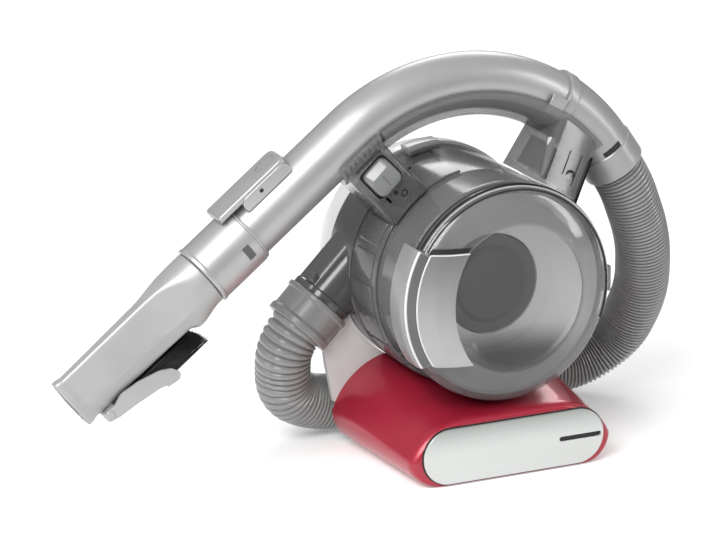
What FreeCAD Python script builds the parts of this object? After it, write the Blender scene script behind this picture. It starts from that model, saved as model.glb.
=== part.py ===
import FreeCAD, Part
import Sketcher
import math
import os

# Handheld vacuum with a drum body on a battery base, a wrap-around stretch hose,
# an arched wand that lies in the carrying handle, and a crevice nozzle with a brush.
# Millimetres. +X runs to the hose elbow, -Y to the front plate and bowl door, +Z up.
# The origin is on the underside, straight below the axis of the drum.

os.makedirs("parts", exist_ok=True)
doc = FreeCAD.newDocument("handheld_vacuum")
dims = doc.addObject("Spreadsheet::Sheet", "Dims")

DIMENSIONS = {
    "axis_height": 124.0, "drum_radius": 74.2, "drum_wall": 2.2, "rim_front": -52.0, "drum_back": 58.0,
    "rim_radius": 75.2, "rim_depth": 4.5,
    "base_front": -70.0, "base_back": 38.0, "front_half": 70.5, "back_half": 83.0,
    "front_height": 41.0, "back_height": 60.0, "base_wall": 2.6, "plate_length": 135.0,
    "plate_height": 38.4, "plate_thick": 2.2, "plate_low": 1.2, "indicator_length": 29.0,
    "indicator_height": 3.4, "indicator_middle": 48.0,
    "cell_radius": 9.15, "cell_length": 65.0, "cell_pitch": 20.0,
    "housing_radius": 76.0, "housing_back": 108.0, "housing_wall": 2.5, "shoulder_run": 28.0, "vent_count": 24,
    "ring_front": -14.0, "ring_back": 23.5, "inlet_front": 24.0, "inlet_back": 57.6,
    "sleeve_skin": 1.8, "duct_radius": 21.5, "duct_bore": 17.5, "duct_middle": 45.0,
    "duct_mouth_x": -90.0, "duct_mouth_z": 101.0, "duct_tilt": 45.0,
    "cuff_radius": 23.8, "cuff_length": 24.0, "hose_radius": 19.3, "hose_wall": 1.6,
    "wand_slope": 38.2, "arch_radius": 132.2, "arch_x": -7.3, "arch_z": 124.9,
    "arch_end": 56.0, "tube_radius": 19.0, "tube_bore": 17.2, "elbow_straight": 17.0,
    "sleeve_radius": 20.7, "sleeve_start": 32.0, "cradle_end": 50.0,
    "cradle_side": 22.5, "cradle_deep": 24.0, "seam_drop": 5.0,
    "collar_start": 93.0, "collar_end": 135.0, "collar_radius": 21.6, "nozzle_end": 255.0,
    "nozzle_tall": 34.0, "nozzle_wide": 24.4, "nozzle_top": 9.0, "nozzle_low": 17.0, "ridge_drop": 6.0,
    "nozzle_skin": 1.8,
    "rocker_pivot": 70.0, "rocker_pivot_up": 21.6, "rocker_top": 27.0, "rocker_half": 11.0,
    "lug_half": 8.7,
    "brush_pivot": 241.0, "brush_pivot_down": -21.4, "brush_tilt": 16.0,
    "carrier_half": 12.0, "carrier_room": 10.4,
    "hinge_x": 77.8, "hinge_y": -34.0, "knuckle_radius": 3.1, "pin_radius": 1.5, "pin_gap": 0.05,
    "saddle_radius": 77.3, "latch_x": -76.9, "latch_y": -60.0, "latch_knuckle": 2.4, "latch_pin_radius": 1.2,
    "shaft_radius": 2.5, "motor_radius": 24.0, "fan_radius": 40.0, "fan_blades": 9,
    "filter_radius": 33.0, "pleat_count": 36, "baffle_radius": 34.0,
    "switch_angle": 133.0, "switch_width": 34.0, "support_angle": 52.0, "support_width": 36.0,
    "button_side": 20.5, "tab_angle": 98.5, "panel_top": 36.5, "panel_low": -41.0,
}
for row, (alias, value) in enumerate(DIMENSIONS.items(), start=1):
    dims.set("A%d" % row, alias)
    dims.set("B%d" % row, str(value))
    dims.setAlias("B%d" % row, alias)
doc.recompute()


def d(alias):
    """The value of one cell of the sheet."""
    return float(dims.get(alias))


def vec(x, y, z):
    return FreeCAD.Vector(x, y, z)


X, Y, Z = vec(1, 0, 0), vec(0, 1, 0), vec(0, 0, 1)
AXIS = vec(0, 0, d("axis_height"))
ARCH = vec(d("arch_x"), 0, d("arch_z"))
TURN = {"X": FreeCAD.Rotation(Y, 90), "Y": FreeCAD.Rotation(X, -90), "Z": FreeCAD.Rotation()}
nodes = []


def keep(obj, label):
    """Marks an object as a finished sub-part."""
    obj.Label = label
    nodes.append(obj)
    return obj


def place(obj, at, turn=FreeCAD.Rotation()):
    """Binds an object's place to the sheet: each entry of at is an expression."""
    obj.Placement = FreeCAD.Placement(vec(0, 0, 0), turn)
    for axis, value in zip("xyz", at):
        obj.setExpression("Placement.Base." + axis, str(value))
    return obj


def cylinder(name, radius, height, at, along="Y", angle=None):
    obj = doc.addObject("Part::Cylinder", name)
    obj.setExpression("Radius", radius)
    obj.setExpression("Height", height)
    if angle is not None:
        obj.Angle = angle
    return place(obj, at, TURN[along])


def box(name, size, at, turn=FreeCAD.Rotation()):
    obj = doc.addObject("Part::Box", name)
    for side, value in zip(("Length", "Width", "Height"), size):
        obj.setExpression(side, str(value))
    return place(obj, at, turn)


def cut(name, base, tool):
    obj = doc.addObject("Part::Cut", name)
    obj.Base = base
    obj.Tool = tool
    return obj


def fuse(name, shapes):
    obj = doc.addObject("Part::MultiFuse", name)
    obj.Shapes = shapes
    return obj


def tube(name, radius, bore, height, at, along="Y"):
    """A straight ring or pipe."""
    outer = cylinder(name + "_outer", radius, height, at, along)
    inner = cylinder(name + "_bore", bore, height, at, along)
    return cut(name, outer, inner)


def solid(name, shape, at=None):
    """A sub-part whose shape comes from Part's own functions."""
    obj = doc.addObject("Part::Feature", name)
    obj.Shape = shape.removeSplitter()
    if at is not None:
        obj.Placement = at
    return obj


def revolved(name, profile):
    """A body turned about the drum's axis from corners (radius, place along Y), as expressions."""
    body = doc.addObject("PartDesign::Body", name)
    plane = [o for o in body.Origin.OriginFeatures if o.Role == "XY_Plane"][0]
    sketch = body.newObject("Sketcher::SketchObject", name + "_profile")
    sketch.AttachmentSupport = [(plane, "")]
    sketch.MapMode = "FlatFace"
    count = len(profile)
    corners = []
    for radius, along in profile:
        corners.append(vec(evaluate(radius), evaluate(along), 0))
    for i in range(count):
        sketch.addGeometry(Part.LineSegment(corners[i], corners[(i + 1) % count]), False)
    for i in range(count):
        sketch.addConstraint(Sketcher.Constraint("Coincident", i, 2, (i + 1) % count, 1))
    for i, (radius, along) in enumerate(profile):
        across = sketch.addConstraint(Sketcher.Constraint("DistanceX", -1, 1, i, 1, corners[i].x))
        sketch.setExpression("Constraints[%d]" % across, radius)
        up = sketch.addConstraint(Sketcher.Constraint("DistanceY", -1, 1, i, 1, corners[i].y))
        sketch.setExpression("Constraints[%d]" % up, along)
    turn = body.newObject("PartDesign::Revolution", name + "_turn")
    turn.Profile = sketch
    turn.ReferenceAxis = (sketch, ["V_Axis"])
    turn.Angle = 360.0
    body.setExpression("Placement.Base.z", "Dims.axis_height")
    return body


def evaluate(expression):
    """The number that a sheet expression stands for."""
    probe = dims.evalExpression(str(expression))
    return float(probe)


def arc(a, b, c):
    return Part.Arc(a, b, c).toShape()


def polar(radius, degrees, y=0.0, centre=AXIS):
    """A point at a radius and angle about an axis along Y, 0 towards +X and 90 upwards."""
    a = math.radians(degrees)
    return vec(centre.x + radius * math.cos(a), y, centre.z + radius * math.sin(a))


def disc_prism(points, front, back):
    """A prism along Y over a closed polygon of (x, z) corners."""
    wire = Part.makePolygon([vec(x, front, z) for x, z in points + points[:1]])
    return Part.Face(wire).extrude(vec(0, back - front, 0))


def drum(radius, front, back, centre=AXIS):
    """A plain cylinder about the drum's axis."""
    return Part.makeCylinder(radius, back - front, vec(centre.x, front, centre.z), Y)


def sector(inner, outer, front, back, start, end):
    """Part of a ring about the drum's axis between two angles."""
    corners = [vec(inner, front, 0), vec(outer, front, 0), vec(outer, back, 0), vec(inner, back, 0)]
    face = Part.Face(Part.makePolygon(corners + corners[:1]))
    return swing(face, start, end, AXIS)


def swing(face, start, end, centre):
    """Turns a face drawn in the plane X-Y (X outwards) about an axis along Y, from one angle to another."""
    face.translate(centre)
    face.rotate(centre, Y, -start)
    return face.revolve(centre, Y, -(end - start))


WAND = FreeCAD.Placement(
    polar(d("arch_radius"), 90 + d("wand_slope"), 0, ARCH), FreeCAD.Rotation(Y, -d("wand_slope"))
)


def wand_box(size, at):
    """A box in the wand's own frame: +X up the wand, +Z away from its underside."""
    shape = Part.makeBox(size[0], size[1], size[2], vec(*at))
    shape.Placement = WAND
    return shape


def wand_rod(radius, start, end, up=0.0):
    """A cylinder along the straight wand between two distances from where the arch begins."""
    shape = Part.makeCylinder(radius, end - start, vec(-end, 0, up), X)
    shape.Placement = WAND
    return shape


def wand_pipe(radius, bore, start, end):
    """A straight pipe along the wand."""
    return wand_rod(radius, start, end).cut(wand_rod(bore, start, end))


def arch_disc(radius):
    return Part.Face(Part.Wire(Part.Circle(vec(d("arch_radius"), 0, 0), Z, radius).toShape()))


def arch_rod(radius, start, end):
    """A bent rod along the arch between two slopes, positive on the elbow's side."""
    return swing(arch_disc(radius), 90 - start, 90 - end, ARCH)


def arch_pipe(radius, bore, start, end):
    """A bent pipe along the arch."""
    return swing(arch_disc(radius).cut(arch_disc(bore)).Faces[0], 90 - start, 90 - end, ARCH)


ELBOW = polar(d("arch_radius"), 90 - d("arch_end"), 0, ARCH)
ELBOW_WAY = vec(math.cos(math.radians(d("arch_end"))), 0, -math.sin(math.radians(d("arch_end"))))


def elbow_rod(radius, start, end):
    """A straight cylinder that carries on from the end of the arch."""
    return Part.makeCylinder(radius, end - start, ELBOW + ELBOW_WAY * start, ELBOW_WAY)


def elbow_pipe(radius, bore, start, end):
    """A straight pipe that carries on from the end of the arch."""
    return elbow_rod(radius, start, end).cut(elbow_rod(bore, start, end))


DUCT_MOUTH = vec(d("duct_mouth_x"), d("duct_middle"), d("duct_mouth_z"))
DUCT_WAY = vec(-math.cos(math.radians(d("duct_tilt"))), 0, -math.sin(math.radians(d("duct_tilt"))))


def duct_rod(radius, start, end):
    """A cylinder along the inlet duct, positive towards the hose."""
    return Part.makeCylinder(radius, end - start, DUCT_MOUTH + DUCT_WAY * start, DUCT_WAY)


# ---------------------------------------------------------------- battery base


UNDERSIDE_TRIM = 0.4


def base_section(y, half, height, shoulder, inset):
    """The outline of the base across one plane: flat underside, round sides, raised saddle."""
    low = inset if inset > 0 else -UNDERSIDE_TRIM
    side = vec(half - inset, y, height * 0.42)
    foot = half * 0.76
    turn_low = vec(half - inset - 0.22 * (half - foot), y, inset + 0.16 * height)
    bend = vec(shoulder + 0.66 * (half - shoulder) - 0.6 * inset, y, 0.77 * height - 0.6 * inset)
    top = vec(shoulder, y, height - inset)

    def mirror(p):
        return vec(-p.x, p.y, p.z)

    edges = [
        Part.LineSegment(vec(-foot, y, low), vec(foot, y, low)).toShape(),
        arc(vec(foot, y, low), turn_low, side),
        arc(side, bend, top),
        Part.LineSegment(top, mirror(top)).toShape(),
        arc(mirror(top), mirror(bend), mirror(side)),
        arc(mirror(side), mirror(turn_low), vec(-foot, y, low)),
    ]
    return Part.Wire(edges)


def base_loft(inset, front, back):
    """The base between two planes, grown smoothly from the front plate to the rear flange."""
    length = d("base_back") - d("base_front")
    wires = []
    for share in (0.0, 0.055, 0.5, 1.0):
        y = d("base_front") + share * length
        if share == 0.0:
            y = front
        if share == 1.0:
            y = back
        half = d("front_half") + (d("back_half") - d("front_half")) * (0.35 + 0.65 * share)
        height = d("front_height") + (d("back_height") - d("front_height")) * (0.12 + 0.88 * share)
        if share == 0.0:
            half = d("front_half")
            height = d("front_height")
        wires.append(base_section(y, half, height, 0.52 * half, inset))
    return Part.makeLoft(wires, True, True)


base_body = base_loft(0.0, d("base_front"), d("base_back"))
base_room = base_loft(d("base_wall"), d("base_front") + d("base_wall"), d("base_back") + 0.1)
base_shape = base_body.cut(base_room).cut(drum(d("saddle_radius"), -90, 60))
saddle = drum(d("saddle_radius") + d("base_wall"), d("base_front") + 1, d("base_back"))
saddle = saddle.cut(drum(d("saddle_radius"), -90, 60)).common(base_body)
below_ground = Part.makeBox(200, 140, 5, vec(-100, -80, -5))
base_shape = base_shape.fuse(saddle).cut(below_ground)
keep(solid("BaseShell", base_shape), "base_shell")


def stadium(name, length, height, thick, at_x, low, front):
    """A flat bar with round ends, standing across the front."""
    length, height = "(%s)" % length, "(%s)" % height
    middle = box(name + "_bar", ("%s - %s" % (length, height), thick, height),
                 ("%s - (%s - %s) / 2" % (at_x, length, height), front, low))
    ends = []
    for side in ("-", "+"):
        x = "%s %s (%s - %s) / 2" % (at_x, side, length, height)
        ends.append(cylinder(name + "_end", "%s / 2" % height, thick,
                             (x, front, "%s + %s / 2" % (low, height))))
    return fuse(name, [middle] + ends)


plate = stadium("Plate", "Dims.plate_length", "Dims.plate_height", "Dims.plate_thick",
                "0", "Dims.plate_low", "Dims.base_front - Dims.plate_thick - 0.05")
window = stadium("PlateSlot", "Dims.indicator_length", "Dims.indicator_height", "Dims.plate_thick",
                 "Dims.indicator_middle", "Dims.plate_low + (Dims.plate_height - Dims.indicator_height) / 2",
                 "Dims.base_front - Dims.plate_thick - 0.05")
keep(cut("BasePlate", plate, window), "base_plate")
keep(stadium("Indicator", "Dims.indicator_length - 0.1", "Dims.indicator_height - 0.1", "1.6",
             "Dims.indicator_middle", "Dims.plate_low + (Dims.plate_height - Dims.indicator_height) / 2 + 0.05",
             "Dims.base_front - 1.65"), "charge_indicator")

# The light rear flange closes the base, carries the drum and the inlet duct.
flange_back = d("base_back") + 4.2
flange = Part.Face(base_section(d("base_back") + 0.05, d("back_half") - 2.0, d("back_height") - 1.0, 43, 0.0))
flange = flange.extrude(vec(0, 4.1, 0))
horn_corners = [(-40, 52), (-82, 30), (-88, 58), (-91, 82), (-84, 96), (-66, 92), (-30, 60)]
horn = disc_prism(horn_corners, d("base_back") + 0.05, flange_back)
neck = Part.makeBox(64, 17, 12, vec(-32, flange_back - 0.1, 40.8))
flange_shape = flange.fuse([horn, neck]).cut(drum(d("drum_radius") + 3.4, 0, 59.5)).cut(below_ground)
flange_shape = flange_shape.cut(duct_rod(d("duct_radius") + 0.3, -70, 5))
flange_shape = flange_shape.cut(duct_rod(d("cuff_radius") + 0.4, 0, 40))
keep(solid("RearFlange", flange_shape), "rear_flange")

# Battery pack: two columns of cells in a tray, and the charging circuit.
cells = []
for column in (-1, 1):
    for line in range(3):
        x = "%s" % ("-Dims.cell_length - 0.5" if column < 0 else "0.5")
        y = "-54 + %d * Dims.cell_pitch" % line
        cells.append(cylinder("Cell", "Dims.cell_radius", "Dims.cell_length",
                              (x, y, "Dims.base_wall + 8 + Dims.cell_radius"), "X"))
group = doc.addObject("Part::Compound", "BatteryCells")
group.Links = cells
keep(group, "battery_cells")
tray = box("TrayBlock", ("104", "62", "7.6"), ("-52", "-64", "Dims.base_wall + 0.2"))
tray_stop = box("TrayStop", ("104", "1.6", "16"), ("-52", "-2.4", "Dims.base_wall + 0.2"))
keep(fuse("BatteryTray", [tray, tray_stop]), "battery_tray")
board = box("BoardBlank", ("58", "1.6", "20"), ("-29", "8", "6"))
keep(board, "circuit_board")

# ---------------------------------------------------------------- drum: bowl, rings, housing
bowl_barrel = revolved("BowlBarrel", [
    ("Dims.drum_radius - Dims.drum_wall", "Dims.rim_front"),
    ("Dims.rim_radius", "Dims.rim_front"),
    ("Dims.rim_radius", "Dims.rim_front + Dims.rim_depth"),
    ("Dims.drum_radius", "Dims.rim_front + Dims.rim_depth + 1"),
    ("Dims.drum_radius", "Dims.drum_back"),
    ("Dims.drum_radius - Dims.drum_wall", "Dims.drum_back"),
])
ears = []
for low in ("-15", "9"):
    ears.append(cylinder("BowlKnuckle", "Dims.knuckle_radius", "5.8",
                         ("Dims.hinge_x", "Dims.hinge_y", "Dims.axis_height + %s" % low), "Z"))
    ears.append(box("BowlEar", ("5.6", "5", "5.8"),
                    ("Dims.hinge_x - 5.6", "Dims.hinge_y - 2.5", "Dims.axis_height + %s" % low)))
doc.recompute()
bowl_blank = fuse("BowlBlank", [bowl_barrel] + ears)
doc.recompute()
duct_hole = solid("DuctHole", duct_rod(d("duct_bore"), -60, 10))
tab_slot = box("TabSlot", ("54", "7", "20"), ("-22", "41.5", "Dims.axis_height + 66"))
pin_holes = cylinder("HingeHole", "Dims.pin_radius", "34",
                     ("Dims.hinge_x", "Dims.hinge_y", "Dims.axis_height - 17"), "Z")
inside = cylinder("BowlInside", "Dims.drum_radius - Dims.drum_wall", "20",
                  ("0", "Dims.hinge_y - 10", "Dims.axis_height"))
bowl_cutters = fuse("BowlCutters", [duct_hole, tab_slot, pin_holes, inside])
keep(cut("BowlShell", bowl_blank, bowl_cutters), "bowl_shell")
keep(cylinder("DoorHingePin", "Dims.pin_radius", "32",
              ("Dims.hinge_x", "Dims.hinge_y", "Dims.axis_height - 16"), "Z"), "door_hinge_pin")

skin = d("drum_radius") + 0.3
outer_skin = skin + d("sleeve_skin")
ring_shape = sector(skin, outer_skin, d("ring_front"), d("ring_back"), 100, 252)
keep(solid("TransitionRing", ring_shape), "transition_ring")
inlet_skin = sector(skin, outer_skin + 0.8, d("inlet_front"), d("inlet_back"), 114, 246)
inlet_shape = inlet_skin.fuse(duct_rod(d("duct_radius"), -46, 0))
inlet_shape = inlet_shape.cut(drum(skin, -10, 90)).cut(duct_rod(d("duct_bore"), -60, 1))
inlet_shape = inlet_shape.cut(drum(d("housing_radius") + 0.3, d("drum_back"), 90))
keep(solid("InletDuct", inlet_shape), "inlet_duct")
cuff_shape = duct_rod(d("cuff_radius"), 0.1, d("cuff_length"))
cuff_shape = cuff_shape.cut(duct_rod(d("hose_radius") + 0.1, 4, d("cuff_length") + 1))
cuff_shape = cuff_shape.cut(duct_rod(d("duct_bore"), -1, 10))
keep(solid("HoseCuff", cuff_shape), "hose_cuff")


def dome(inset):
    """The rear housing's solid: a straight band, a round shoulder and a flat back."""
    r = d("housing_radius") - inset
    back = d("housing_back") - inset
    start = d("drum_back") + 0.6
    turn_start = start + 4
    rise = back - turn_start
    run = d("shoulder_run")
    shoulder = (run ** 2 + rise ** 2) / (2 * run)
    half = math.atan2(rise, shoulder - run) / 2
    bend = vec(r - shoulder * (1 - math.cos(half)), turn_start + shoulder * math.sin(half), 0)
    side = vec(r, turn_start, 0)
    flat = vec(r - run, back, 0)
    edges = [
        Part.LineSegment(vec(0, start, 0), vec(r, start, 0)).toShape(),
        Part.LineSegment(vec(r, start, 0), side).toShape(),
        arc(side, bend, flat),
        Part.LineSegment(flat, vec(0, back, 0)).toShape(),
        Part.LineSegment(vec(0, back, 0), vec(0, start, 0)).toShape(),
    ]
    face = Part.Face(Part.Wire(edges))
    face.translate(AXIS)
    return face.revolve(AXIS, Y, 360)


housing_shape = dome(0.0).cut(dome(d("housing_wall")))
vents = []
for i in range(int(d("vent_count"))):
    slot = Part.makeBox(14, 12, 2.6, vec(24, d("housing_back") - 8, -1.3))
    slot.rotate(vec(0, 0, 0), Y, 360.0 * i / d("vent_count"))
    slot.translate(AXIS)
    vents.append(slot)
housing_shape = housing_shape.cut(Part.makeCompound(vents))
keep(solid("RearHousing", housing_shape), "rear_housing")

# Motor, fan and shaft behind a mounting plate; the exhaust foam sits behind the vents.
keep(tube("MotorMount", "Dims.housing_radius - Dims.housing_wall - 0.2", "16", "2.6",
          ("0", "Dims.drum_back + 3", "Dims.axis_height")), "motor_mount")
motor_outer = cylinder("MotorBarrel", "Dims.motor_radius", "26", ("0", "75", "Dims.axis_height"))
motor_bore = cylinder("MotorBore", "Dims.shaft_radius + Dims.pin_gap", "22", ("0", "74", "Dims.axis_height"))
keep(cut("MotorCan", motor_outer, motor_bore), "motor_can")
keep(tube("MotorBracket", "66", "Dims.motor_radius + 0.05", "3", ("0", "84", "Dims.axis_height")),
     "motor_bracket")
keep(cylinder("MotorShaft", "Dims.shaft_radius", "30", ("0", "64.5", "Dims.axis_height")), "motor_shaft")
blade_shapes = [drum(d("fan_radius"), 71.0, 73.0), drum(9.0, 65.0, 71.5)]
for i in range(int(d("fan_blades"))):
    blade = Part.makeBox(d("fan_radius") - 9.5, 5.5, 1.6, vec(8.5, 66.0, 2.0))
    blade.rotate(vec(0, 0, 0), Y, 360.0 * i / d("fan_blades"))
    blade.translate(AXIS)
    blade_shapes.append(blade)
fan_shape = blade_shapes[0].fuse(blade_shapes[1:]).cut(drum(d("shaft_radius") + 0.02, 60, 80))
keep(solid("FanImpeller", fan_shape), "fan_impeller")
keep(cylinder("ExhaustFoam", "46", "2.0", ("0", "103.2", "Dims.axis_height")), "exhaust_foam")

# Filter inside the bowl.
keep(cylinder("BaffleDisc", "Dims.baffle_radius", "3", ("0", "-36", "Dims.axis_height")), "baffle_disc")
keep(tube("FilterCore", "20", "18.4", "83", ("0", "-32.9", "Dims.axis_height")), "filter_core")
star = []
for i in range(2 * int(d("pleat_count"))):
    reach = d("filter_radius") if i % 2 else 25.5
    p = polar(reach, 180.0 * i / d("pleat_count"))
    star.append((p.x, p.z))
pleats_shape = disc_prism(star, -32.5, 49.9).cut(drum(20.1, -40, 60))
keep(solid("FilterPleats", pleats_shape), "filter_pleats")
keep(tube("FilterPlate", "Dims.drum_radius - Dims.drum_wall - 0.2", "18.4", "3",
          ("0", "50.2", "Dims.axis_height")), "filter_plate")
keep(tube("FilterSeal", "Dims.drum_radius - Dims.drum_wall - 0.2", "60", "3",
          ("0", "53.3", "Dims.axis_height")), "filter_seal")

# Filter-cleaning tab on top of the drum, with its ring inside the bowl.
tab_middle = d("tab_angle")
tab_block = sector(skin + 0.4, d("drum_radius") + 6.4, 42, 56, tab_middle - 8.5, tab_middle + 8.5)
tab_stem = sector(70.0, d("drum_radius") + 3, 43, 47, tab_middle - 3, tab_middle + 3)
keep(solid("FilterTab", tab_block.fuse(tab_stem)), "filter_tab")
keep(tube("AgitatorRing", "69.9", "66", "6", ("0", "42", "Dims.axis_height")), "agitator_ring")

# ---------------------------------------------------------------- bowl door
door_profile = [
    ("74.2", "Dims.rim_front - 2"), ("74.0", "-58"), ("70.6", "-65"), ("60", "-70"), ("52.2", "-72"),
    ("49.9", "-72"), ("49.9", "-69.4"), ("59.2", "-67.6"), ("68.2", "-63"), ("71.5", "-57.5"),
    ("71.5", "Dims.rim_front - 2"),
]
door_ring = revolved("DoorBlank", door_profile)
arm = box("DoorArm", ("3", "24", "17.4"),
          ("Dims.rim_radius + 0.5", "Dims.hinge_y - 24", "Dims.axis_height - 8.7"))
lug = box("DoorLug", ("6.2", "4", "17.4"), ("Dims.rim_radius - 2.8", "-58.4", "Dims.axis_height - 8.7"))
knuckle = cylinder("DoorKnuckle", "Dims.knuckle_radius", "17.4",
                   ("Dims.hinge_x", "Dims.hinge_y", "Dims.axis_height - 8.7"), "Z")
latch_posts = []
for low in ("-18.2", "12.4"):
    latch_posts.append(cylinder("LatchPost", "Dims.latch_knuckle", "5.8",
                                ("Dims.latch_x", "Dims.latch_y", "Dims.axis_height + %s" % low), "Z"))
    latch_posts.append(box("LatchArm", ("6", "4", "5.8"),
                           ("Dims.latch_x", "Dims.latch_y - 2", "Dims.axis_height + %s" % low)))
doc.recompute()
door_blank = fuse("DoorFused", [door_ring, arm, lug, knuckle] + latch_posts)
door_hole = cylinder("DoorHole", "Dims.pin_radius + Dims.pin_gap", "30",
                     ("Dims.hinge_x", "Dims.hinge_y", "Dims.axis_height - 15"), "Z")
latch_hole = cylinder("LatchHole", "Dims.latch_pin_radius", "44",
                      ("Dims.latch_x", "Dims.latch_y", "Dims.axis_height - 22"), "Z")
door_cutters = fuse("DoorCutters", [door_hole, latch_hole])
keep(cut("DoorRing", door_blank, door_cutters), "door_ring")

DISH_FLAT = 4.0
dish = [
    Part.LineSegment(vec(0, -63.5, 0), vec(0, -61.5, 0)).toShape(),
    Part.LineSegment(vec(0, -61.5, 0), vec(DISH_FLAT, -61.5, 0)).toShape(),
    arc(vec(DISH_FLAT, -61.5, 0), vec(26, -63.6, 0), vec(44, -69, 0)),
    Part.LineSegment(vec(44, -69, 0), vec(49.8, -69.5, 0)).toShape(),
    Part.LineSegment(vec(49.8, -69.5, 0), vec(49.8, -71.6, 0)).toShape(),
    Part.LineSegment(vec(49.8, -71.6, 0), vec(45, -71.4, 0)).toShape(),
    arc(vec(45, -71.4, 0), vec(26.6, -65.7, 0), vec(DISH_FLAT, -63.5, 0)),
    Part.LineSegment(vec(DISH_FLAT, -63.5, 0), vec(0, -63.5, 0)).toShape(),
]
dish_face = Part.Face(Part.Wire(dish))
dish_face.translate(AXIS)
keep(solid("DoorWindow", dish_face.revolve(AXIS, Y, 360)), "door_window")
keep(tube("DoorGasket", "74", "70.8", "1.9", ("0", "Dims.rim_front - 1.95", "Dims.axis_height")), "door_gasket")


def turned_plate(corners, start, end):
    """A plate that follows the door's face round part of a circle, from (radius, y) corners."""
    wire = Part.makePolygon([vec(r, y, 0) for r, y in corners + corners[:1]])
    return swing(Part.Face(wire), start, end, AXIS)


panel_corners = [(69.9, -65.6), (60, -70.3), (52.4, -72.2), (52.4, -74.2), (60.6, -72.3), (70.6, -67.4)]
panel_tall = d("panel_top") - d("panel_low")
panel_slab = Part.makeBox(60, 30, panel_tall, vec(-80, -90, d("axis_height") + d("panel_low")))
keep(solid("LatchPanel", turned_plate(panel_corners, 125, 240).common(panel_slab)), "latch_panel")
band_corners = [(75.8, -66.6), (77.7, -66.6), (77.7, -44.4), (74.6, -44.4), (74.6, -46.9), (75.8, -46.9)]
band = turned_plate(band_corners, 152, 212)
latch_line = vec(d("latch_x"), d("latch_y"), d("axis_height"))
latch_rod = Part.makeCylinder(d("latch_knuckle"), 24.2, latch_line - Z * 12.1, Z)
latch_bore = Part.makeCylinder(d("latch_pin_radius") + d("pin_gap"), 60, latch_line - Z * 30, Z)
band = band.fuse(latch_rod)
for low in (-18.7, 12.1):
    band = band.cut(Part.makeBox(14, 10, 6.6, vec(-84, d("latch_y") - 5, d("axis_height") + low)))
band = band.cut(latch_bore)
keep(solid("LatchLever", band), "latch_lever")
keep(cylinder("LatchPin", "Dims.latch_pin_radius", "36.4",
              ("Dims.latch_x", "Dims.latch_y", "Dims.axis_height - 18.2"), "Z"), "latch_pin")

# ---------------------------------------------------------------- handle
drop = d("seam_drop")
seat = d("tube_radius") + 0.5


def cradle_section(bore):
    """The trough's U across the arch: X outwards from the arch's centre, Y across."""
    r = d("arch_radius")
    side_in = math.sqrt(bore ** 2 - drop ** 2)
    side = d("cradle_side")
    outer = [vec(r - drop, side, 0), vec(r - d("cradle_deep"), 0, 0), vec(r - drop, -side, 0)]
    inner = [vec(r - drop, -side_in, 0), vec(r - bore, 0, 0), vec(r - drop, side_in, 0)]
    edges = [
        arc(*outer),
        Part.LineSegment(outer[2], inner[0]).toShape(),
        arc(*inner),
        Part.LineSegment(inner[2], outer[0]).toShape(),
    ]
    return Part.Face(Part.Wire(edges))


def turned_block(angle, width, front, back, low, high):
    """A block on the drum whose long side points away from the drum's axis."""
    block = Part.makeBox(high - low, back - front, width, vec(low, front, -width / 2))
    block.rotate(vec(0, 0, 0), Y, -angle)
    block.translate(AXIS)
    return block


wide_seat = d("sleeve_radius") + 0.5
cradle_shape = swing(cradle_section(seat), 90 + d("wand_slope"), 90 - d("cradle_end"), ARCH)
cradle_shape = cradle_shape.cut(arch_rod(wide_seat, d("sleeve_start") - 1.5, d("cradle_end") + 4))
switch_space = turned_block(d("switch_angle"), d("switch_width") + 0.1, -30, 30, 60, 170)
cradle_shape = cradle_shape.cut(switch_space)
cradle_piece = max(cradle_shape.Solids, key=lambda s: s.Volume)
keep(solid("HandleCradle", cradle_piece), "handle_cradle")

switch_block = turned_block(d("switch_angle"), d("switch_width"), -18, 22, 60, 150)
switch_block = switch_block.cut(drum(outer_skin + 0.2, -60, 60))
switch_block = switch_block.cut(wand_rod(seat, -60, 90)).cut(arch_rod(seat, -60, 10))
above = wand_box((160, 80, 90), (-60, -40, -drop))
switch_block = switch_block.cut(above)
recess = turned_block(d("switch_angle"), d("button_side") + 2, -20, -15.9, 95, 125)
switch_shape = switch_block.cut(recess)
switch_piece = max(switch_shape.Solids, key=lambda s: s.Volume)
keep(solid("SwitchBracket", switch_piece), "switch_bracket")
button_shape = turned_block(d("switch_angle"), d("button_side"), -20.6, -16.0, 97, 97 + d("button_side"))
keep(solid("SwitchButton", button_shape), "switch_button")


def support_rectangle(radius, front, back, width):
    """A rectangle across the support at a radius from the drum's axis."""
    a = d("support_angle")
    along = vec(-math.sin(math.radians(a)), 0, math.cos(math.radians(a)))
    middle = polar(radius, a)
    points = []
    for side, y in ((-1, front), (1, front), (1, back), (-1, back)):
        p = middle + along * (side * width / 2)
        points.append(vec(p.x, y, p.z))
    return Part.makePolygon(points + points[:1])


support = Part.makeLoft([support_rectangle(64, -46, 12, d("support_width")),
                         support_rectangle(124, -20, 20, d("support_width"))], True, True)
support = support.cut(drum(d("rim_radius") + 0.1, -60, 60))
cradle_disc = Part.Face(Part.Wire(Part.Circle(vec(d("arch_radius") - 1.25, 0, 0), Z, 22.95).toShape()))
cradle_hull = swing(cradle_disc, 120, 25, ARCH)
support = support.cut(cradle_hull)
support_piece = min(support.Solids, key=lambda s: s.CenterOfMass.distanceToPoint(AXIS))
for offset in (-11.0, 0.0, 11.0):
    pocket = Part.makeBox(60, 60, 8.4, vec(70, -26, offset - 4.2))
    pocket.rotate(vec(0, 0, 0), Y, -d("support_angle"))
    pocket.translate(AXIS)
    pocket = pocket.common(drum(100.5, -60, 60)).cut(drum(80.0, -60, 60))
    support_piece = support_piece.cut(pocket)
screw_place = polar(89.0, d("support_angle") - 4.0, 0)
support_piece = support_piece.cut(Part.makeCylinder(3.4, 14, vec(screw_place.x, -46, screw_place.z), Y))
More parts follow.
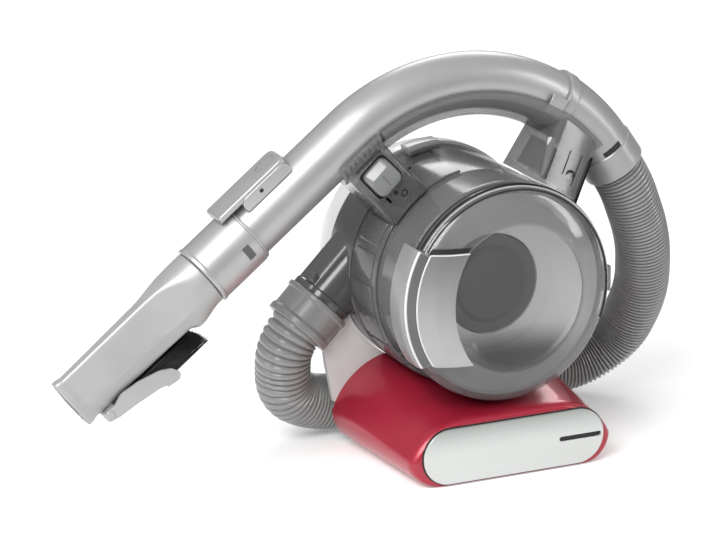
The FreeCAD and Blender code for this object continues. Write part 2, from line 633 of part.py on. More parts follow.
keep(solid("SupportBracket", support_piece), "support_bracket")
screw = Part.makeCylinder(3.2, 2.2, vec(screw_place.x, -34.3, screw_place.z), Y)
slot_a = Part.makeBox(4.2, 1.2, 0.9, vec(screw_place.x - 2.1, -34.4, screw_place.z - 0.45))
slot_b = Part.makeBox(0.9, 1.2, 4.2, vec(screw_place.x - 0.45, -34.4, screw_place.z - 2.1))
keep(solid("BracketScrew", screw.cut(slot_a).cut(slot_b)), "bracket_screw")

# ---------------------------------------------------------------- wand and hose
end = d("arch_end")
pipe = wand_pipe(d("tube_radius"), d("tube_bore"), 0, 120)
pipe = pipe.fuse(arch_pipe(d("tube_radius"), d("tube_bore"), -d("wand_slope"), end))
lug_half = d("lug_half")
lug = Part.makeBox(6, 2 * lug_half, d("rocker_pivot_up") - 15.5, vec(-d("rocker_pivot") - 3, -lug_half, 15.5))
lug = lug.fuse(Part.makeCylinder(3.0, 2 * lug_half, vec(-d("rocker_pivot"), -lug_half, d("rocker_pivot_up")), Y))
lug = lug.cut(Part.makeCylinder(d("pin_radius"), 30, vec(-d("rocker_pivot"), -15, d("rocker_pivot_up")), Y))
lug.Placement = WAND
lug = lug.cut(wand_rod(d("tube_bore") + 0.9, 40, 100))
keep(solid("WandTube", pipe.fuse(lug)), "wand_tube")

straight = d("elbow_straight")
bend_bore = d("tube_radius") + 0.05
elbow = arch_pipe(d("sleeve_radius"), bend_bore, d("sleeve_start"), end)
elbow = elbow.fuse(elbow_pipe(d("collar_radius"), d("tube_bore"), 0, 3))
elbow = elbow.fuse(elbow_pipe(d("collar_radius"), d("hose_radius") + 0.05, 3, straight))
keep(solid("ElbowSleeve", elbow), "elbow_sleeve")

HOSE_ROUTE = [
    (ELBOW + ELBOW_WAY * 4.0), (ELBOW + ELBOW_WAY * 34.0), vec(143.5, 12, 126), vec(155, 33, 80),
    vec(150, 54, 43), vec(124, 64, 22.8), vec(76, 66, 19.9), vec(20, 65, 20.4), vec(-34, 66, 19.9),
    vec(-84, 65, 21.0), vec(-112, 57, 36), (DUCT_MOUTH + DUCT_WAY * 38.0), (DUCT_MOUTH + DUCT_WAY * 4.4),
]


def rounded_route(points):
    """Straight runs joined by tangent arcs, each as large as its two runs allow."""
    edges = []
    start = points[0]
    for i in range(1, len(points) - 1):
        before = points[i] - points[i - 1]
        after = points[i + 1] - points[i]
        half_turn = before.getAngle(after) / 2
        back_off = 0.45 * min(before.Length, after.Length)
        radius = back_off / math.tan(half_turn)
        before.normalize()
        after.normalize()
        a = points[i] - before * back_off
        b = points[i] + after * back_off
        inward = after - before
        inward.normalize()
        middle = points[i] + inward * (radius / math.cos(half_turn) - radius)
        edges.append(Part.LineSegment(start, a).toShape())
        edges.append(Part.Arc(a, middle, b).toShape())
        start = b
    edges.append(Part.LineSegment(start, points[-1]).toShape())
    return Part.Wire(edges)


route = rounded_route(HOSE_ROUTE)
first_way = HOSE_ROUTE[1] - HOSE_ROUTE[0]


def pipe_along(wire, radius):
    ring = Part.Wire(Part.Circle(HOSE_ROUTE[0], first_way, radius).toShape())
    return wire.makePipeShell([ring], True, False)


hose_shape = pipe_along(route, d("hose_radius")).cut(pipe_along(route, d("hose_radius") - d("hose_wall")))
keep(solid("Hose", hose_shape), "hose")

# ---------------------------------------------------------------- nozzle end
collar = wand_rod(d("collar_radius"), d("collar_start"), d("collar_end"))
collar = collar.cut(wand_rod(d("tube_radius") + 0.02, 80, 120.1)).cut(wand_rod(d("tube_bore"), 110, 140))
keep(solid("NozzleCollar", collar), "nozzle_collar")
rocker_half = d("rocker_half")
rocker_axis = vec(-d("rocker_pivot"), -rocker_half, d("rocker_pivot_up"))
keep(solid("RockerPin", Part.makeCylinder(d("pin_radius"), 2 * rocker_half, rocker_axis, Y), WAND), "rocker_pin")


def side_prism(points, half):
    """A prism across Y over a closed polygon of (x, z) corners."""
    return disc_prism(points, -half, half)


top = d("rocker_top")
rocker = side_prism([
    (-44, top), (-104, top), (-104, 21.9), (-100.5, 21.9), (-100.5, 23.8), (-84.5, 23.8), (-84.5, 20.0),
    (-82, 17.8), (-70, 17.8), (-56, 18.4), (-44, 22.2),
], rocker_half)
rocker_room = Part.makeBox(38.4, 2 * (lug_half + 0.2), 15, vec(-84.6, -lug_half - 0.2, top - 17.0))
rocker = rocker.cut(rocker_room)
rocker = rocker.cut(Part.makeCylinder(d("pin_radius") + d("pin_gap"), 30,
                                      vec(-d("rocker_pivot"), -15, d("rocker_pivot_up")), Y))
rocker_edges = [e for e in rocker.Edges if abs(e.BoundBox.ZMin - top) < 0.01 and e.BoundBox.XLength > 50]
rocker = rocker.makeFillet(1.2, rocker_edges)
keep(solid("RockerLatch", rocker, WAND), "rocker_latch")


def rounded_wire(corners):
    """A closed wire from (point, radius) corners."""
    stops = []
    for i, (p, radius) in enumerate(corners):
        before = (corners[i - 1][0] - p).normalize()
        after = (corners[(i + 1) % len(corners)][0] - p).normalize()
        half = before.getAngle(after) / 2
        back_off = radius / math.tan(half)
        inward = (before + after).normalize()
        middle = p + inward * (radius / math.sin(half) - radius)
        stops.append((p + before * back_off, middle, p + after * back_off))
    edges = []
    for i, (a, m, b) in enumerate(stops):
        edges.append(arc(a, m, b))
        edges.append(Part.LineSegment(b, stops[(i + 1) % len(stops)][0]).toShape())
    return Part.Wire(edges)


def nozzle_section(s, tall, top, wide, low, ridge, corner, grow):
    """Six rounded corners across the nozzle: narrow top, widest at the ridges, narrower keel."""
    half_tall = tall / 2 + grow
    marks = [
        (top / 2 + grow, half_tall), (wide / 2 + grow, ridge), (low / 2 + grow, -half_tall),
        (-low / 2 - grow, -half_tall), (-wide / 2 - grow, ridge), (-top / 2 - grow, half_tall),
    ]
    return rounded_wire([(vec(-s, y, z), max(corner + grow, 0.6)) for y, z in marks])


def nozzle_loft(grow, start, finish):
    """Round at the collar, then narrow and flat-sided down to the mouth."""
    shoulder = d("collar_end") + 36
    round_side = (20.5 + grow) / math.cos(math.radians(30))
    sections = [
        nozzle_section(start, 2 * (20.5 + grow), round_side, 2 * round_side, round_side, 0.0,
                       20.2 + grow, 0.0),
        nozzle_section(shoulder, d("nozzle_tall") + 1.5, d("nozzle_top") + 3, d("nozzle_wide") + 4.6,
                       d("nozzle_low") + 2, 1 - d("ridge_drop"), 4.0, grow),
        nozzle_section(finish, d("nozzle_tall"), d("nozzle_top"), d("nozzle_wide"), d("nozzle_low"),
                       -d("ridge_drop"), 2.8, grow),
    ]
    return Part.makeLoft(sections, True, True)


nozzle_start = d("collar_end") + 0.3
nozzle = nozzle_loft(0.0, nozzle_start, d("nozzle_end"))
nozzle = nozzle.fuse(Part.makeCylinder(16.9, 68, vec(-nozzle_start - 1, 0, 0), X))
hollow = nozzle_loft(-d("nozzle_skin"), nozzle_start + 2.5, d("nozzle_end") + 0.5)
nozzle = nozzle.cut(hollow).cut(Part.makeCylinder(15.2, 90, vec(-nozzle_start - 8, 0, 0), X))
foot = Part.makeBox(6, 12, 6.4, vec(-d("brush_pivot") - 3, -6, d("brush_pivot_down")))
foot = foot.fuse(Part.makeCylinder(3.0, 12, vec(-d("brush_pivot"), -6, d("brush_pivot_down")), Y))
foot_hole = Part.makeCylinder(d("pin_radius"), 30, vec(-d("brush_pivot"), -15, d("brush_pivot_down")), Y)
nozzle = nozzle.fuse(foot).cut(hollow).cut(foot_hole)
keep(solid("CreviceNozzle", nozzle, WAND), "crevice_nozzle")

# The brush turns about a pin near the mouth; its own frame has +X along the carrier.
BRUSH = WAND.multiply(FreeCAD.Placement(
    vec(-d("brush_pivot"), 0, d("brush_pivot_down")), FreeCAD.Rotation(Y, d("brush_tilt"))))
reach = d("carrier_half")
brush_pin = Part.makeCylinder(d("pin_radius"), 2 * reach, vec(0, -reach, 0), Y)
keep(solid("BrushPin", brush_pin, BRUSH), "brush_pin")
carrier = side_prism([
    (-3.4, -2.4), (-1.2, -3.8), (6, -4.0), (20, -2.4), (48, -0.8), (53, 0.6), (54, 3.2), (50, 8.0), (42, 10.8),
    (26, 11.6), (12, 10.0), (5.5, 5.2), (0.5, 3.8), (-3.0, 2.4),
], reach)
carrier = carrier.cut(Part.makeBox(70, 2 * d("carrier_room"), 30, vec(4.5, -d("carrier_room"), 0.8)))
carrier = carrier.cut(Part.makeBox(18, 12.4, 30, vec(-10.5, -6.2, -10)))
carrier = carrier.cut(Part.makeCylinder(d("pin_radius") + d("pin_gap"), 40, vec(0, -20, 0), Y))
keep(solid("BrushCarrier", carrier, BRUSH), "brush_carrier")
bristle_block = side_prism([
    (-193.4, -34.1), (-160.0, -33.8), (-167.0, -20.4), (-204.0, -18.6), (-221.0, -18.6), (-221.0, -26.1),
], 8)
keep(solid("BrushBristles", bristle_block, WAND), "brush_bristles")

# ---------------------------------------------------------------- checks and output
doc.recompute()
for obj in doc.Objects:
    if "Invalid" in obj.State or "Error" in obj.State:
        raise SystemExit("%s failed: %s" % (obj.Label, obj.State))
for obj in nodes:
    shape = obj.Shape
    if shape.isNull() or not shape.isValid() or not shape.Solids:
        raise SystemExit("%s has no valid solid" % obj.Label)
    low, high = shape.BoundBox.ZMin, shape.BoundBox.ZMax
    print("%-18s solids %d volume %9.0f z %.1f..%.1f" % (obj.Label, len(shape.Solids), shape.Volume, low, high))
    shape.exportStep("parts/%s.step" % obj.Label)
print("%d nodes" % len(nodes))
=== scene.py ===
import math
import random

import bmesh
import bpy
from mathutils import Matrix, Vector


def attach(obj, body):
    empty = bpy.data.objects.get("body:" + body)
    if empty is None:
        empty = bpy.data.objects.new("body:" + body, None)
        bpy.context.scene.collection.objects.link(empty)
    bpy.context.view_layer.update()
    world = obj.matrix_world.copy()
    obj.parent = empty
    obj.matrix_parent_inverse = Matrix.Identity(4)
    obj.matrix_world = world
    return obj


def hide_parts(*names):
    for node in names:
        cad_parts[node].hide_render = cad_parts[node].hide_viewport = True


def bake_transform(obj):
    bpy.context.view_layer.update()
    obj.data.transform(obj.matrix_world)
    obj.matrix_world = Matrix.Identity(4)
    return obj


random.seed(7)
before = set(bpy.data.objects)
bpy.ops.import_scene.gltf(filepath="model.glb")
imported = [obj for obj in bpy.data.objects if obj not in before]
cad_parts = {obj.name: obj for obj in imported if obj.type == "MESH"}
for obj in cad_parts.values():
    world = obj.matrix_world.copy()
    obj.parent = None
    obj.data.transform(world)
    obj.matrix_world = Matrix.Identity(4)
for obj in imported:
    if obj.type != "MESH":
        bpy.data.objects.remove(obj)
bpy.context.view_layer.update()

# Millimetres in the shared frame: +X towards the wand's elbow, -Y towards the bowl's door, +Z up.
# The drum lies along Y. The wand is a straight tube that bends over the drum in an arch and ends
# in a straight elbow. Angles are in degrees.
MM = 0.001
X = Vector((1, 0, 0))
Y = Vector((0, 1, 0))
Z = Vector((0, 0, 1))
AXIS = Vector((0, 0, 124))
ARCH = Vector((-7.3, 0, 124.9))
ARCH_RADIUS = 132.2
SLOPE = 38.2
ELBOW_SLOPE = -56.0
TUBE, BORE = 19.0, 17.2
DUCT_MOUTH = Vector((-90, 45, 101))
DUCT_WAY = Vector((-1, 0, -1)).normalized()


# ---------------- placing
def turn(degrees):
    """The way outwards at an angle in the X-Z plane, 0 towards +X and 90 upwards."""
    a = math.radians(degrees)
    return Vector((math.cos(a), 0, math.sin(a)))


START = ARCH + turn(90 + SLOPE) * ARCH_RADIUS
DOWN = turn(180 + SLOPE)
ELBOW = ARCH + turn(90 + ELBOW_SLOPE) * ARCH_RADIUS
ELBOW_WAY = turn(ELBOW_SLOPE)


def slope_at(degrees):
    """Distance along the wand, negative on the arch, where the arch has this slope."""
    return -math.radians(SLOPE - degrees) * ARCH_RADIUS


ARCH_END = slope_at(ELBOW_SLOPE)


def wand(s, y, n):
    """A point by its distance down the wand, its place across and its height off the middle."""
    if s >= 0:
        return START + DOWN * s + turn(90 + SLOPE) * n + Y * y
    if s >= ARCH_END:
        out = turn(90 + SLOPE + math.degrees(s / ARCH_RADIUS))
        return ARCH + out * (ARCH_RADIUS + n) + Y * y
    return ELBOW + ELBOW_WAY * (ARCH_END - s) + turn(90 + ELBOW_SLOPE) * n + Y * y


def on_wand_side(s, n, y):
    """For outlines drawn on the wand's side view."""
    return wand(s, y, n)


def on_front(x, z, y):
    """For outlines drawn on the front view."""
    return Vector((x, y, z))


def on_plan(x, y, z):
    """For outlines drawn from above."""
    return Vector((x, y, z))


def on_spoke(degrees):
    """Places across (round the drum), outwards from the drum's axis, and along Y."""
    out = turn(degrees)
    across = turn(degrees + 90)
    return lambda t, r, y: AXIS + out * r + across * t + Y * y


DRUM = (AXIS, Y, X, Z)
DUCT = (DUCT_MOUTH, DUCT_WAY, Y, DUCT_WAY.cross(Y))


# ---------------- outlines
def rounded(corners, steps=5):
    """A closed outline from (a, b, radius) corners."""
    points = []
    for i, (a, b, radius) in enumerate(corners):
        here = Vector((a, b))
        before = Vector(corners[i - 1][:2]) - here
        after = Vector(corners[(i + 1) % len(corners)][:2]) - here
        if radius <= 0:
            points.append(tuple(here))
            continue
        half = before.angle(after) / 2
        back = min(radius / math.tan(half), 0.49 * before.length, 0.49 * after.length)
        radius = back * math.tan(half)
        u, v = before.normalized(), after.normalized()
        centre = here + (u + v).normalized() * (radius / math.sin(half))
        first, last = here + u * back - centre, here + v * back - centre
        sweep = first.angle(last)
        for k in range(steps + 1):
            t = k / steps
            way = first * math.sin((1 - t) * sweep) + last * math.sin(t * sweep)
            points.append(tuple(centre + way / math.sin(sweep)))
    return points


def three_point_arc(a, m, b, count):
    """Points from a to b along the circle through a, m and b."""
    ax, ay = a
    bx, by = b
    mx, my = m
    d = 2 * (ax * (my - by) + mx * (by - ay) + bx * (ay - my))
    sa, sm, sb = ax * ax + ay * ay, mx * mx + my * my, bx * bx + by * by
    cx = (sa * (my - by) + sm * (by - ay) + sb * (ay - my)) / d
    cy = (sa * (bx - mx) + sm * (ax - bx) + sb * (mx - ax)) / d
    radius = math.hypot(ax - cx, ay - cy)
    t0 = math.atan2(ay - cy, ax - cx)
    t1 = math.atan2(by - cy, bx - cx)
    if t1 - t0 > math.pi:
        t1 -= 2 * math.pi
    if t0 - t1 > math.pi:
        t1 += 2 * math.pi
    return [(cx + radius * math.cos(t0 + (t1 - t0) * k / count),
             cy + radius * math.sin(t0 + (t1 - t0) * k / count)) for k in range(count + 1)]


def curve_through(points, steps=6):
    """A smooth line through points of any dimension."""
    points = [Vector(p) for p in points]
    out = []
    for i in range(len(points) - 1):
        p0 = points[max(i - 1, 0)]
        p1, p2 = points[i], points[i + 1]
        p3 = points[min(i + 2, len(points) - 1)]
        for k in range(steps):
            t = k / steps
            out.append(0.5 * (2 * p1 + (p2 - p0) * t + (2 * p0 - 5 * p1 + 4 * p2 - p3) * t * t
                              + (3 * p1 - p0 - 3 * p2 + p3) * t ** 3))
    out.append(points[-1])
    return out


def dense(outline, step):
    """The closed outline with points added along its long sides."""
    out = []
    for i, (a, b) in enumerate(outline):
        c, d = outline[(i + 1) % len(outline)]
        parts = max(1, math.ceil(math.hypot(c - a, d - b) / step))
        for k in range(parts):
            t = k / parts
            out.append((a + (c - a) * t, b + (d - b) * t))
    return out


def bar_outline(middle_x, middle_z, length, height, steps=24):
    """A flat bar with round ends."""
    r = height / 2
    run = length / 2 - r
    out = []
    for side, first in ((1, -90), (-1, 90)):
        for k in range(steps + 1):
            a = math.radians(first + 180 * k / steps)
            out.append((middle_x + side * run + r * math.cos(a), middle_z + r * math.sin(a)))
    return out


def rectangle(a0, a1, b0, b1, radius):
    return rounded([(a0, b0, radius), (a1, b0, radius), (a1, b1, radius), (a0, b1, radius)])


def hoop(inside, outside, low, high, edge, steps=4):
    """The section of a hoop with its outer corners eased."""
    corners = [(inside, low, 0.2), (outside, low, edge), (outside, high, edge), (inside, high, 0.2)]
    return rounded(corners, steps)


def ring_outline(radius, steps=64):
    return [(radius * math.cos(2 * math.pi * k / steps), radius * math.sin(2 * math.pi * k / steps))
            for k in range(steps)]


def bead(r, y, radius):
    """A small round section for a raised edge."""
    return [(r + a, y + b) for a, b in ring_outline(radius, 12)]


# ---------------- meshes
def smooth(obj, angle=32):
    """Even normals, smooth shading and crisp edges above the angle."""
    mesh = bmesh.new()
    mesh.from_mesh(obj.data)
    bmesh.ops.remove_doubles(mesh, verts=mesh.verts, dist=2e-6)
    bmesh.ops.dissolve_degenerate(mesh, edges=mesh.edges, dist=1e-7)
    bmesh.ops.recalc_face_normals(mesh, faces=mesh.faces)
    mesh.to_mesh(obj.data)
    mesh.free()
    obj.data.shade_smooth()
    obj.data.set_sharp_from_angle(angle=math.radians(angle))
    return obj


def new_object(name, points, faces):
    mesh = bpy.data.meshes.new(name)
    mesh.from_pydata([tuple(Vector(p) * MM) for p in points], [], faces)
    obj = bpy.data.objects.new(name, mesh)
    bpy.context.scene.collection.objects.link(obj)
    return smooth(obj)


def skin(name, rings, caps=(True, True), loop=False):
    """A surface across rings of equal length."""
    size = len(rings[0])
    points = [p for ring in rings for p in ring]
    faces = []
    for i in range(len(rings) if loop else len(rings) - 1):
        j = (i + 1) % len(rings)
        for k in range(size):
            m = (k + 1) % size
            faces.append((i * size + k, i * size + m, j * size + m, j * size + k))
    if caps[0]:
        faces.append(tuple(reversed(range(size))))
    if caps[1]:
        faces.append(tuple(range((len(rings) - 1) * size, len(rings) * size)))
    return new_object(name, points, faces)


def lathe(name, outline, about=DRUM, start=0.0, end=360.0, steps=120):
    """Turns a closed (radius, along) outline about an axis; on the drum 0 degrees is +X and 90 is up."""
    origin, axis, u, v = about
    whole = end - start >= 360
    rings = []
    for i in range(steps if whole else steps + 1):
        a = math.radians(start + (end - start) * i / steps)
        way = u * math.cos(a) + v * math.sin(a)
        rings.append([origin + axis * y + way * r for r, y in outline])
    return skin(name, rings, (not whole, not whole), whole)


def wand_lathe(name, outline, steps=72):
    """Turns a closed (distance, radius) outline about the wand's middle line, bends included."""
    rings = []
    for s, radius in outline:
        rings.append([wand(s, y, n) for y, n in ring_outline(radius, steps)])
    return skin(name, rings, (False, False), True)


def prism(name, outline, place, low, high):
    """An outline carried from one level to another of the view that it is drawn on."""
    rings = [[place(a, b, low) for a, b in outline], [place(a, b, high) for a, b in outline]]
    return skin(name, rings)


def rod(name, a, b, radius, edge=0.3, bore=0.0, steps=40):
    """A round bar between two points with eased ends."""
    a, b = Vector(a), Vector(b)
    axis = (b - a).normalized()
    u = axis.orthogonal().normalized()
    v = axis.cross(u)
    length = (b - a).length
    outline = rounded([(bore, 0, 0), (radius, 0, edge), (radius, length, edge), (bore, length, 0)], 3)
    return lathe(name, outline, (a, axis, u, v), steps=steps)


def drum_room(radius, low=-80, high=80):
    """A cutter about the drum's axis."""
    return rod("drum_room", AXIS + Y * low, AXIS + Y * high, radius, steps=160)


def bake(obj):
    """Applies the modifiers."""
    bpy.context.view_layer.update()
    graph = bpy.context.evaluated_depsgraph_get()
    mesh = bpy.data.meshes.new_from_object(obj.evaluated_get(graph))
    old = obj.data
    obj.modifiers.clear()
    obj.data = mesh
    bpy.data.meshes.remove(old)
    return obj


def bevel(obj, width, segments=3, angle=40):
    """Rounds the crisp edges."""
    m = obj.modifiers.new("Bevel", "BEVEL")
    m.width = width * MM
    m.segments = segments
    m.limit_method = "ANGLE"
    m.angle_limit = math.radians(angle)
    return smooth(bake(obj))


def carve(obj, *cutters):
    """Takes the cutters away from the piece and deletes them."""
    for cutter in cutters:
        m = obj.modifiers.new("Cut", "BOOLEAN")
        m.operation = "DIFFERENCE"
        m.solver = "EXACT"
        m.object = cutter
    bake(obj)
    for cutter in cutters:
        bpy.data.objects.remove(cutter)
    return smooth(obj)


def join(name, *parts):
    """One mesh from several."""
    mesh = bmesh.new()
    for part in parts:
        mesh.from_mesh(part.data)
        bpy.data.objects.remove(part)
    data = bpy.data.meshes.new(name)
    mesh.to_mesh(data)
    mesh.free()
    obj = bpy.data.objects.new(name, data)
    bpy.context.scene.collection.objects.link(obj)
    obj.data.shade_smooth()
    obj.data.set_sharp_from_angle(angle=math.radians(32))
    return obj


# ---------------- finishes
def linear(value):
    """A screen value of 0 to 255 as a linear one."""
    value /= 255
    return value / 12.92 if value <= 0.04045 else ((value + 0.055) / 1.055) ** 2.4


def shade(rgb):
    return tuple(linear(c) for c in rgb) + (1.0,)


def paint(name, colour, rough, metal=0.0, alpha=1.0, coat=0.0, vary=0.08, scale=(40, 40, 40),
          grain=0.02, grain_scale=260, second=None, low=0.0, high=0.1, ior=1.5):
    """A procedural finish: soft colour and gloss variation and a slight grain.

    With a second colour the finish fades to it between two heights in metres.
    """
    material = bpy.data.materials.new(name)
    material.use_nodes = True
    nodes, links = material.node_tree.nodes, material.node_tree.links
    shader = nodes["Principled BSDF"]
    where = nodes.new("ShaderNodeTexCoord")
    stretch = nodes.new("ShaderNodeMapping")
    stretch.inputs["Scale"].default_value = scale
    links.new(where.outputs["Object"], stretch.inputs["Vector"])
    cloud = nodes.new("ShaderNodeTexNoise")
    cloud.inputs["Scale"].default_value = 1.0
    cloud.inputs["Detail"].default_value = 3.0
    links.new(stretch.outputs["Vector"], cloud.inputs["Vector"])
    tone = nodes.new("ShaderNodeMix")
    tone.data_type = "RGBA"
    darker = tuple(c * (1 - vary) for c in shade(colour)[:3]) + (1.0,)
    lighter = tuple(min(1.0, c * (1 + vary)) for c in shade(colour)[:3]) + (1.0,)
    tone.inputs["A"].default_value = darker
    tone.inputs["B"].default_value = lighter
    links.new(cloud.outputs["Fac"], tone.inputs["Factor"])
    result = tone.outputs["Result"]
    if second is not None:
        split = nodes.new("ShaderNodeSeparateXYZ")
        links.new(where.outputs["Object"], split.inputs["Vector"])
        ramp = nodes.new("ShaderNodeMapRange")
        ramp.interpolation_type = "SMOOTHSTEP"
        ramp.inputs["From Min"].default_value = low
        ramp.inputs["From Max"].default_value = high
        links.new(split.outputs["Z"], ramp.inputs["Value"])
        blend = nodes.new("ShaderNodeMix")
        blend.data_type = "RGBA"
        blend.inputs["B"].default_value = shade(second)
        links.new(result, blend.inputs["A"])
        links.new(ramp.outputs["Result"], blend.inputs["Factor"])
        result = blend.outputs["Result"]
    links.new(result, shader.inputs["Base Color"])
    gloss = nodes.new("ShaderNodeMapRange")
    gloss.inputs["To Min"].default_value = max(0.02, rough - 0.05)
    gloss.inputs["To Max"].default_value = min(1.0, rough + 0.05)
    links.new(cloud.outputs["Fac"], gloss.inputs["Value"])
    links.new(gloss.outputs["Result"], shader.inputs["Roughness"])
    speck = nodes.new("ShaderNodeTexNoise")
    speck.inputs["Scale"].default_value = grain_scale
    links.new(where.outputs["Object"], speck.inputs["Vector"])
    bump = nodes.new("ShaderNodeBump")
    bump.inputs["Strength"].default_value = grain
    bump.inputs["Distance"].default_value = 0.0002
    links.new(speck.outputs["Fac"], bump.inputs["Height"])
    links.new(bump.outputs["Normal"], shader.inputs["Normal"])
    shader.inputs["Metallic"].default_value = metal
    shader.inputs["Alpha"].default_value = alpha
    shader.inputs["IOR"].default_value = ior
    shader.inputs["Coat Weight"].default_value = coat
    shader.inputs["Coat Roughness"].default_value = 0.12
    return material


FINISH = {
    "red_shell": paint("red_shell", (158, 24, 48), 0.36, metal=0.3, coat=0.5, grain=0.01),
    # The base plate's silver turns darker towards its top: painted shade.
    "silver_plate": paint("silver_plate", (198, 200, 198), 0.34, metal=0.4, vary=0.04, scale=(30, 30, 500),
                          second=(104, 112, 107), low=0.020, high=0.056),
    "light_grey": paint("light_grey", (206, 207, 206), 0.34, coat=0.2),
    "smoke": paint("smoke", (112, 112, 113), 0.16, alpha=0.62, coat=0.4, grain=0.01),
    "clear_smoke": paint("clear_smoke", (96, 96, 97), 0.05, alpha=0.20, coat=0.5, grain=0.0),
    "dark_grey": paint("dark_grey", (50, 50, 52), 0.42),
    "wand_silver": paint("wand_silver", (166, 165, 165), 0.38, metal=0.55, coat=0.15),
    "nozzle_grey": paint("nozzle_grey", (160, 161, 160), 0.40, metal=0.35),
    "hose_grey": paint("hose_grey", (136, 136, 135), 0.30, vary=0.1, coat=0.3),
    "bristle": paint("bristle", (20, 20, 21), 0.5, vary=0.3, scale=(300, 300, 300)),
    "steel": paint("steel", (170, 170, 172), 0.28, metal=1.0),
    "cell_wrap": paint("cell_wrap", (36, 92, 120), 0.4),
    "board": paint("board", (24, 84, 46), 0.5),
    "filter_cloth": paint("filter_cloth", (120, 120, 118), 0.9, grain=0.3, grain_scale=900),
    "seal": paint("seal", (32, 32, 34), 0.7),
    "foam": paint("foam", (62, 62, 64), 0.95, grain=0.6, grain_scale=500),
}
# Near black for holes, slots and dark marks, and as painted shade in gaps and in the door rim's lines.
NEAR_BLACK = paint("recess_black", (16, 16, 17), 0.6)
# The latch panel's silver turns darker towards its top: painted shade.
LATCH_SILVER_SHADED = paint("latch_silver_painted_shade", (160, 160, 161), 0.34, metal=0.15, grain=0.004, second=(104, 104, 105),
                     low=0.085, high=0.172)
# Light grey beads on edges and ridges: painted highlight.
PAINTED_HIGHLIGHT = paint("painted_highlight", (204, 204, 204), 0.3)
# Dark grey for the lever's front face: painted shade.
LATCH_SHADED_FACE = paint("latch_face_painted_shade", (84, 84, 85), 0.3)
LATCH_SIDE = paint("latch_side", (134, 134, 135), 0.30, metal=0.15, grain=0.004)
BUTTON_GREY = paint("button_grey", (116, 117, 118), 0.34, metal=0.2, coat=0.2)
SLEEVE_GREY = paint("sleeve_grey", (150, 151, 150), 0.36, metal=0.35, coat=0.15)
CUFF_GREY = paint("cuff_grey", (126, 126, 125), 0.34, coat=0.1)
FRAME_SMOKE = paint("frame_smoke", (92, 92, 93), 0.16, alpha=0.72, coat=0.5, grain=0.01)
CLEAR_FRAME = paint("clear_frame", (96, 96, 97), 0.14, alpha=0.7, coat=0.5, grain=0.0)
DUCT_SMOKE = paint("duct_smoke", (76, 76, 77), 0.2, coat=0.5)
DOOR_SMOKE = paint("door_smoke", (104, 104, 105), 0.08, alpha=0.5, coat=1.0, grain=0.0)
LIGHT_PIPE = paint("light_pipe", (190, 190, 190), 0.3)
TAB_GREY = paint("tab_grey", (146, 147, 147), 0.3, coat=0.3)
# The liner's light grey stands in for light reflected inside the window: painted reflection. It turns dark
# towards the bottom as painted shade.
LINER_PAINTED_LIGHT = paint("liner", (74, 74, 75), 0.3, second=(232, 232, 232), low=0.074, high=0.098)
FLANGE_GREY = paint("flange_grey", (76, 76, 77), 0.45)


def piece(obj, body, finish, *nodes, slot=None):
    """Gives a finished mesh its material, its body and the CAD nodes it stands for."""
    if isinstance(finish, str):
        finish = FINISH[finish]
    obj.data.materials.clear()
    obj.data.materials.append(finish)
    if body:
        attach(obj, body)
    if nodes:
        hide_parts(*nodes)
    return obj


# ---------------- battery base
FRONT, BACK = -70.0, 38.0
LIP = 9
SADDLE = 77.3
FRONT_HALF, FRONT_HEIGHT = 70.5, 41
PLATE_HEIGHT = 20.4


def base_outline(half, height):
    """The base across one plane: flat underside, round sides and a hollow for the drum."""
    foot, shoulder = half * 0.76, 0.52 * half
    side = (half, height * 0.42)
    low_turn = (half - 0.22 * (half - foot), 0.16 * height)
    bend = (shoulder + 0.66 * (half - shoulder), 0.77 * height)
    right = three_point_arc((foot, 0), low_turn, side, 14)[:-1]
    right += three_point_arc(side, bend, (shoulder, height), 22)
    top = [(shoulder - 2 * shoulder * k / 40, height) for k in range(1, 40)]
    left = [(-x, z) for x, z in reversed(right)]
    out = []
    for x, z in right + top + left:
        if abs(x) < SADDLE - 1:
            z = min(z, AXIS.z - math.sqrt(SADDLE ** 2 - x * x))
        out.append((x, z))
    return out


sizes = []
for k in range(10):
    a = math.radians(90 * k / 9)
    y = FRONT + LIP * (1 - math.cos(a))
    sizes.append((y, FRONT_HALF + 5.1 * math.sin(a), FRONT_HEIGHT + 3.9 * math.sin(a)))
for k in range(1, 19):
    y = FRONT + LIP + (BACK - FRONT - LIP) * k / 18
    share = (y - FRONT) / (BACK - FRONT)
    sizes.append((y, FRONT_HALF + 12.5 * (0.35 + 0.65 * share), FRONT_HEIGHT + 19 * (0.12 + 0.88 * share)))
base = skin("base_shell_looks", [[Vector((x, y, z)) for x, z in base_outline(half, height)]
                                 for y, half, height in sizes])
piece(base, "body", "red_shell", "base_shell")

plate_shape = bar_outline(0, PLATE_HEIGHT, 135, 38.4, 28)
plate = bevel(prism("base_plate_looks", plate_shape, on_front, -72.3, -70.05), 0.7)
carve(plate, prism("slot", bar_outline(49.5, PLATE_HEIGHT, 32, 3.4, 10), on_front, -75, -69))
piece(plate, "body", "silver_plate", "base_plate")
shadow_gap = prism("plate_outline", bar_outline(0, PLATE_HEIGHT, 136.6, 40.0, 28), on_front, -70.5, -69.8)
piece(shadow_gap, "body", NEAR_BLACK)
piece(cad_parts["charge_indicator"], None, NEAR_BLACK)

# ---------------- drum
HINGE = Vector((77.8, -34, 0))
LUG_HEIGHT = 5.8

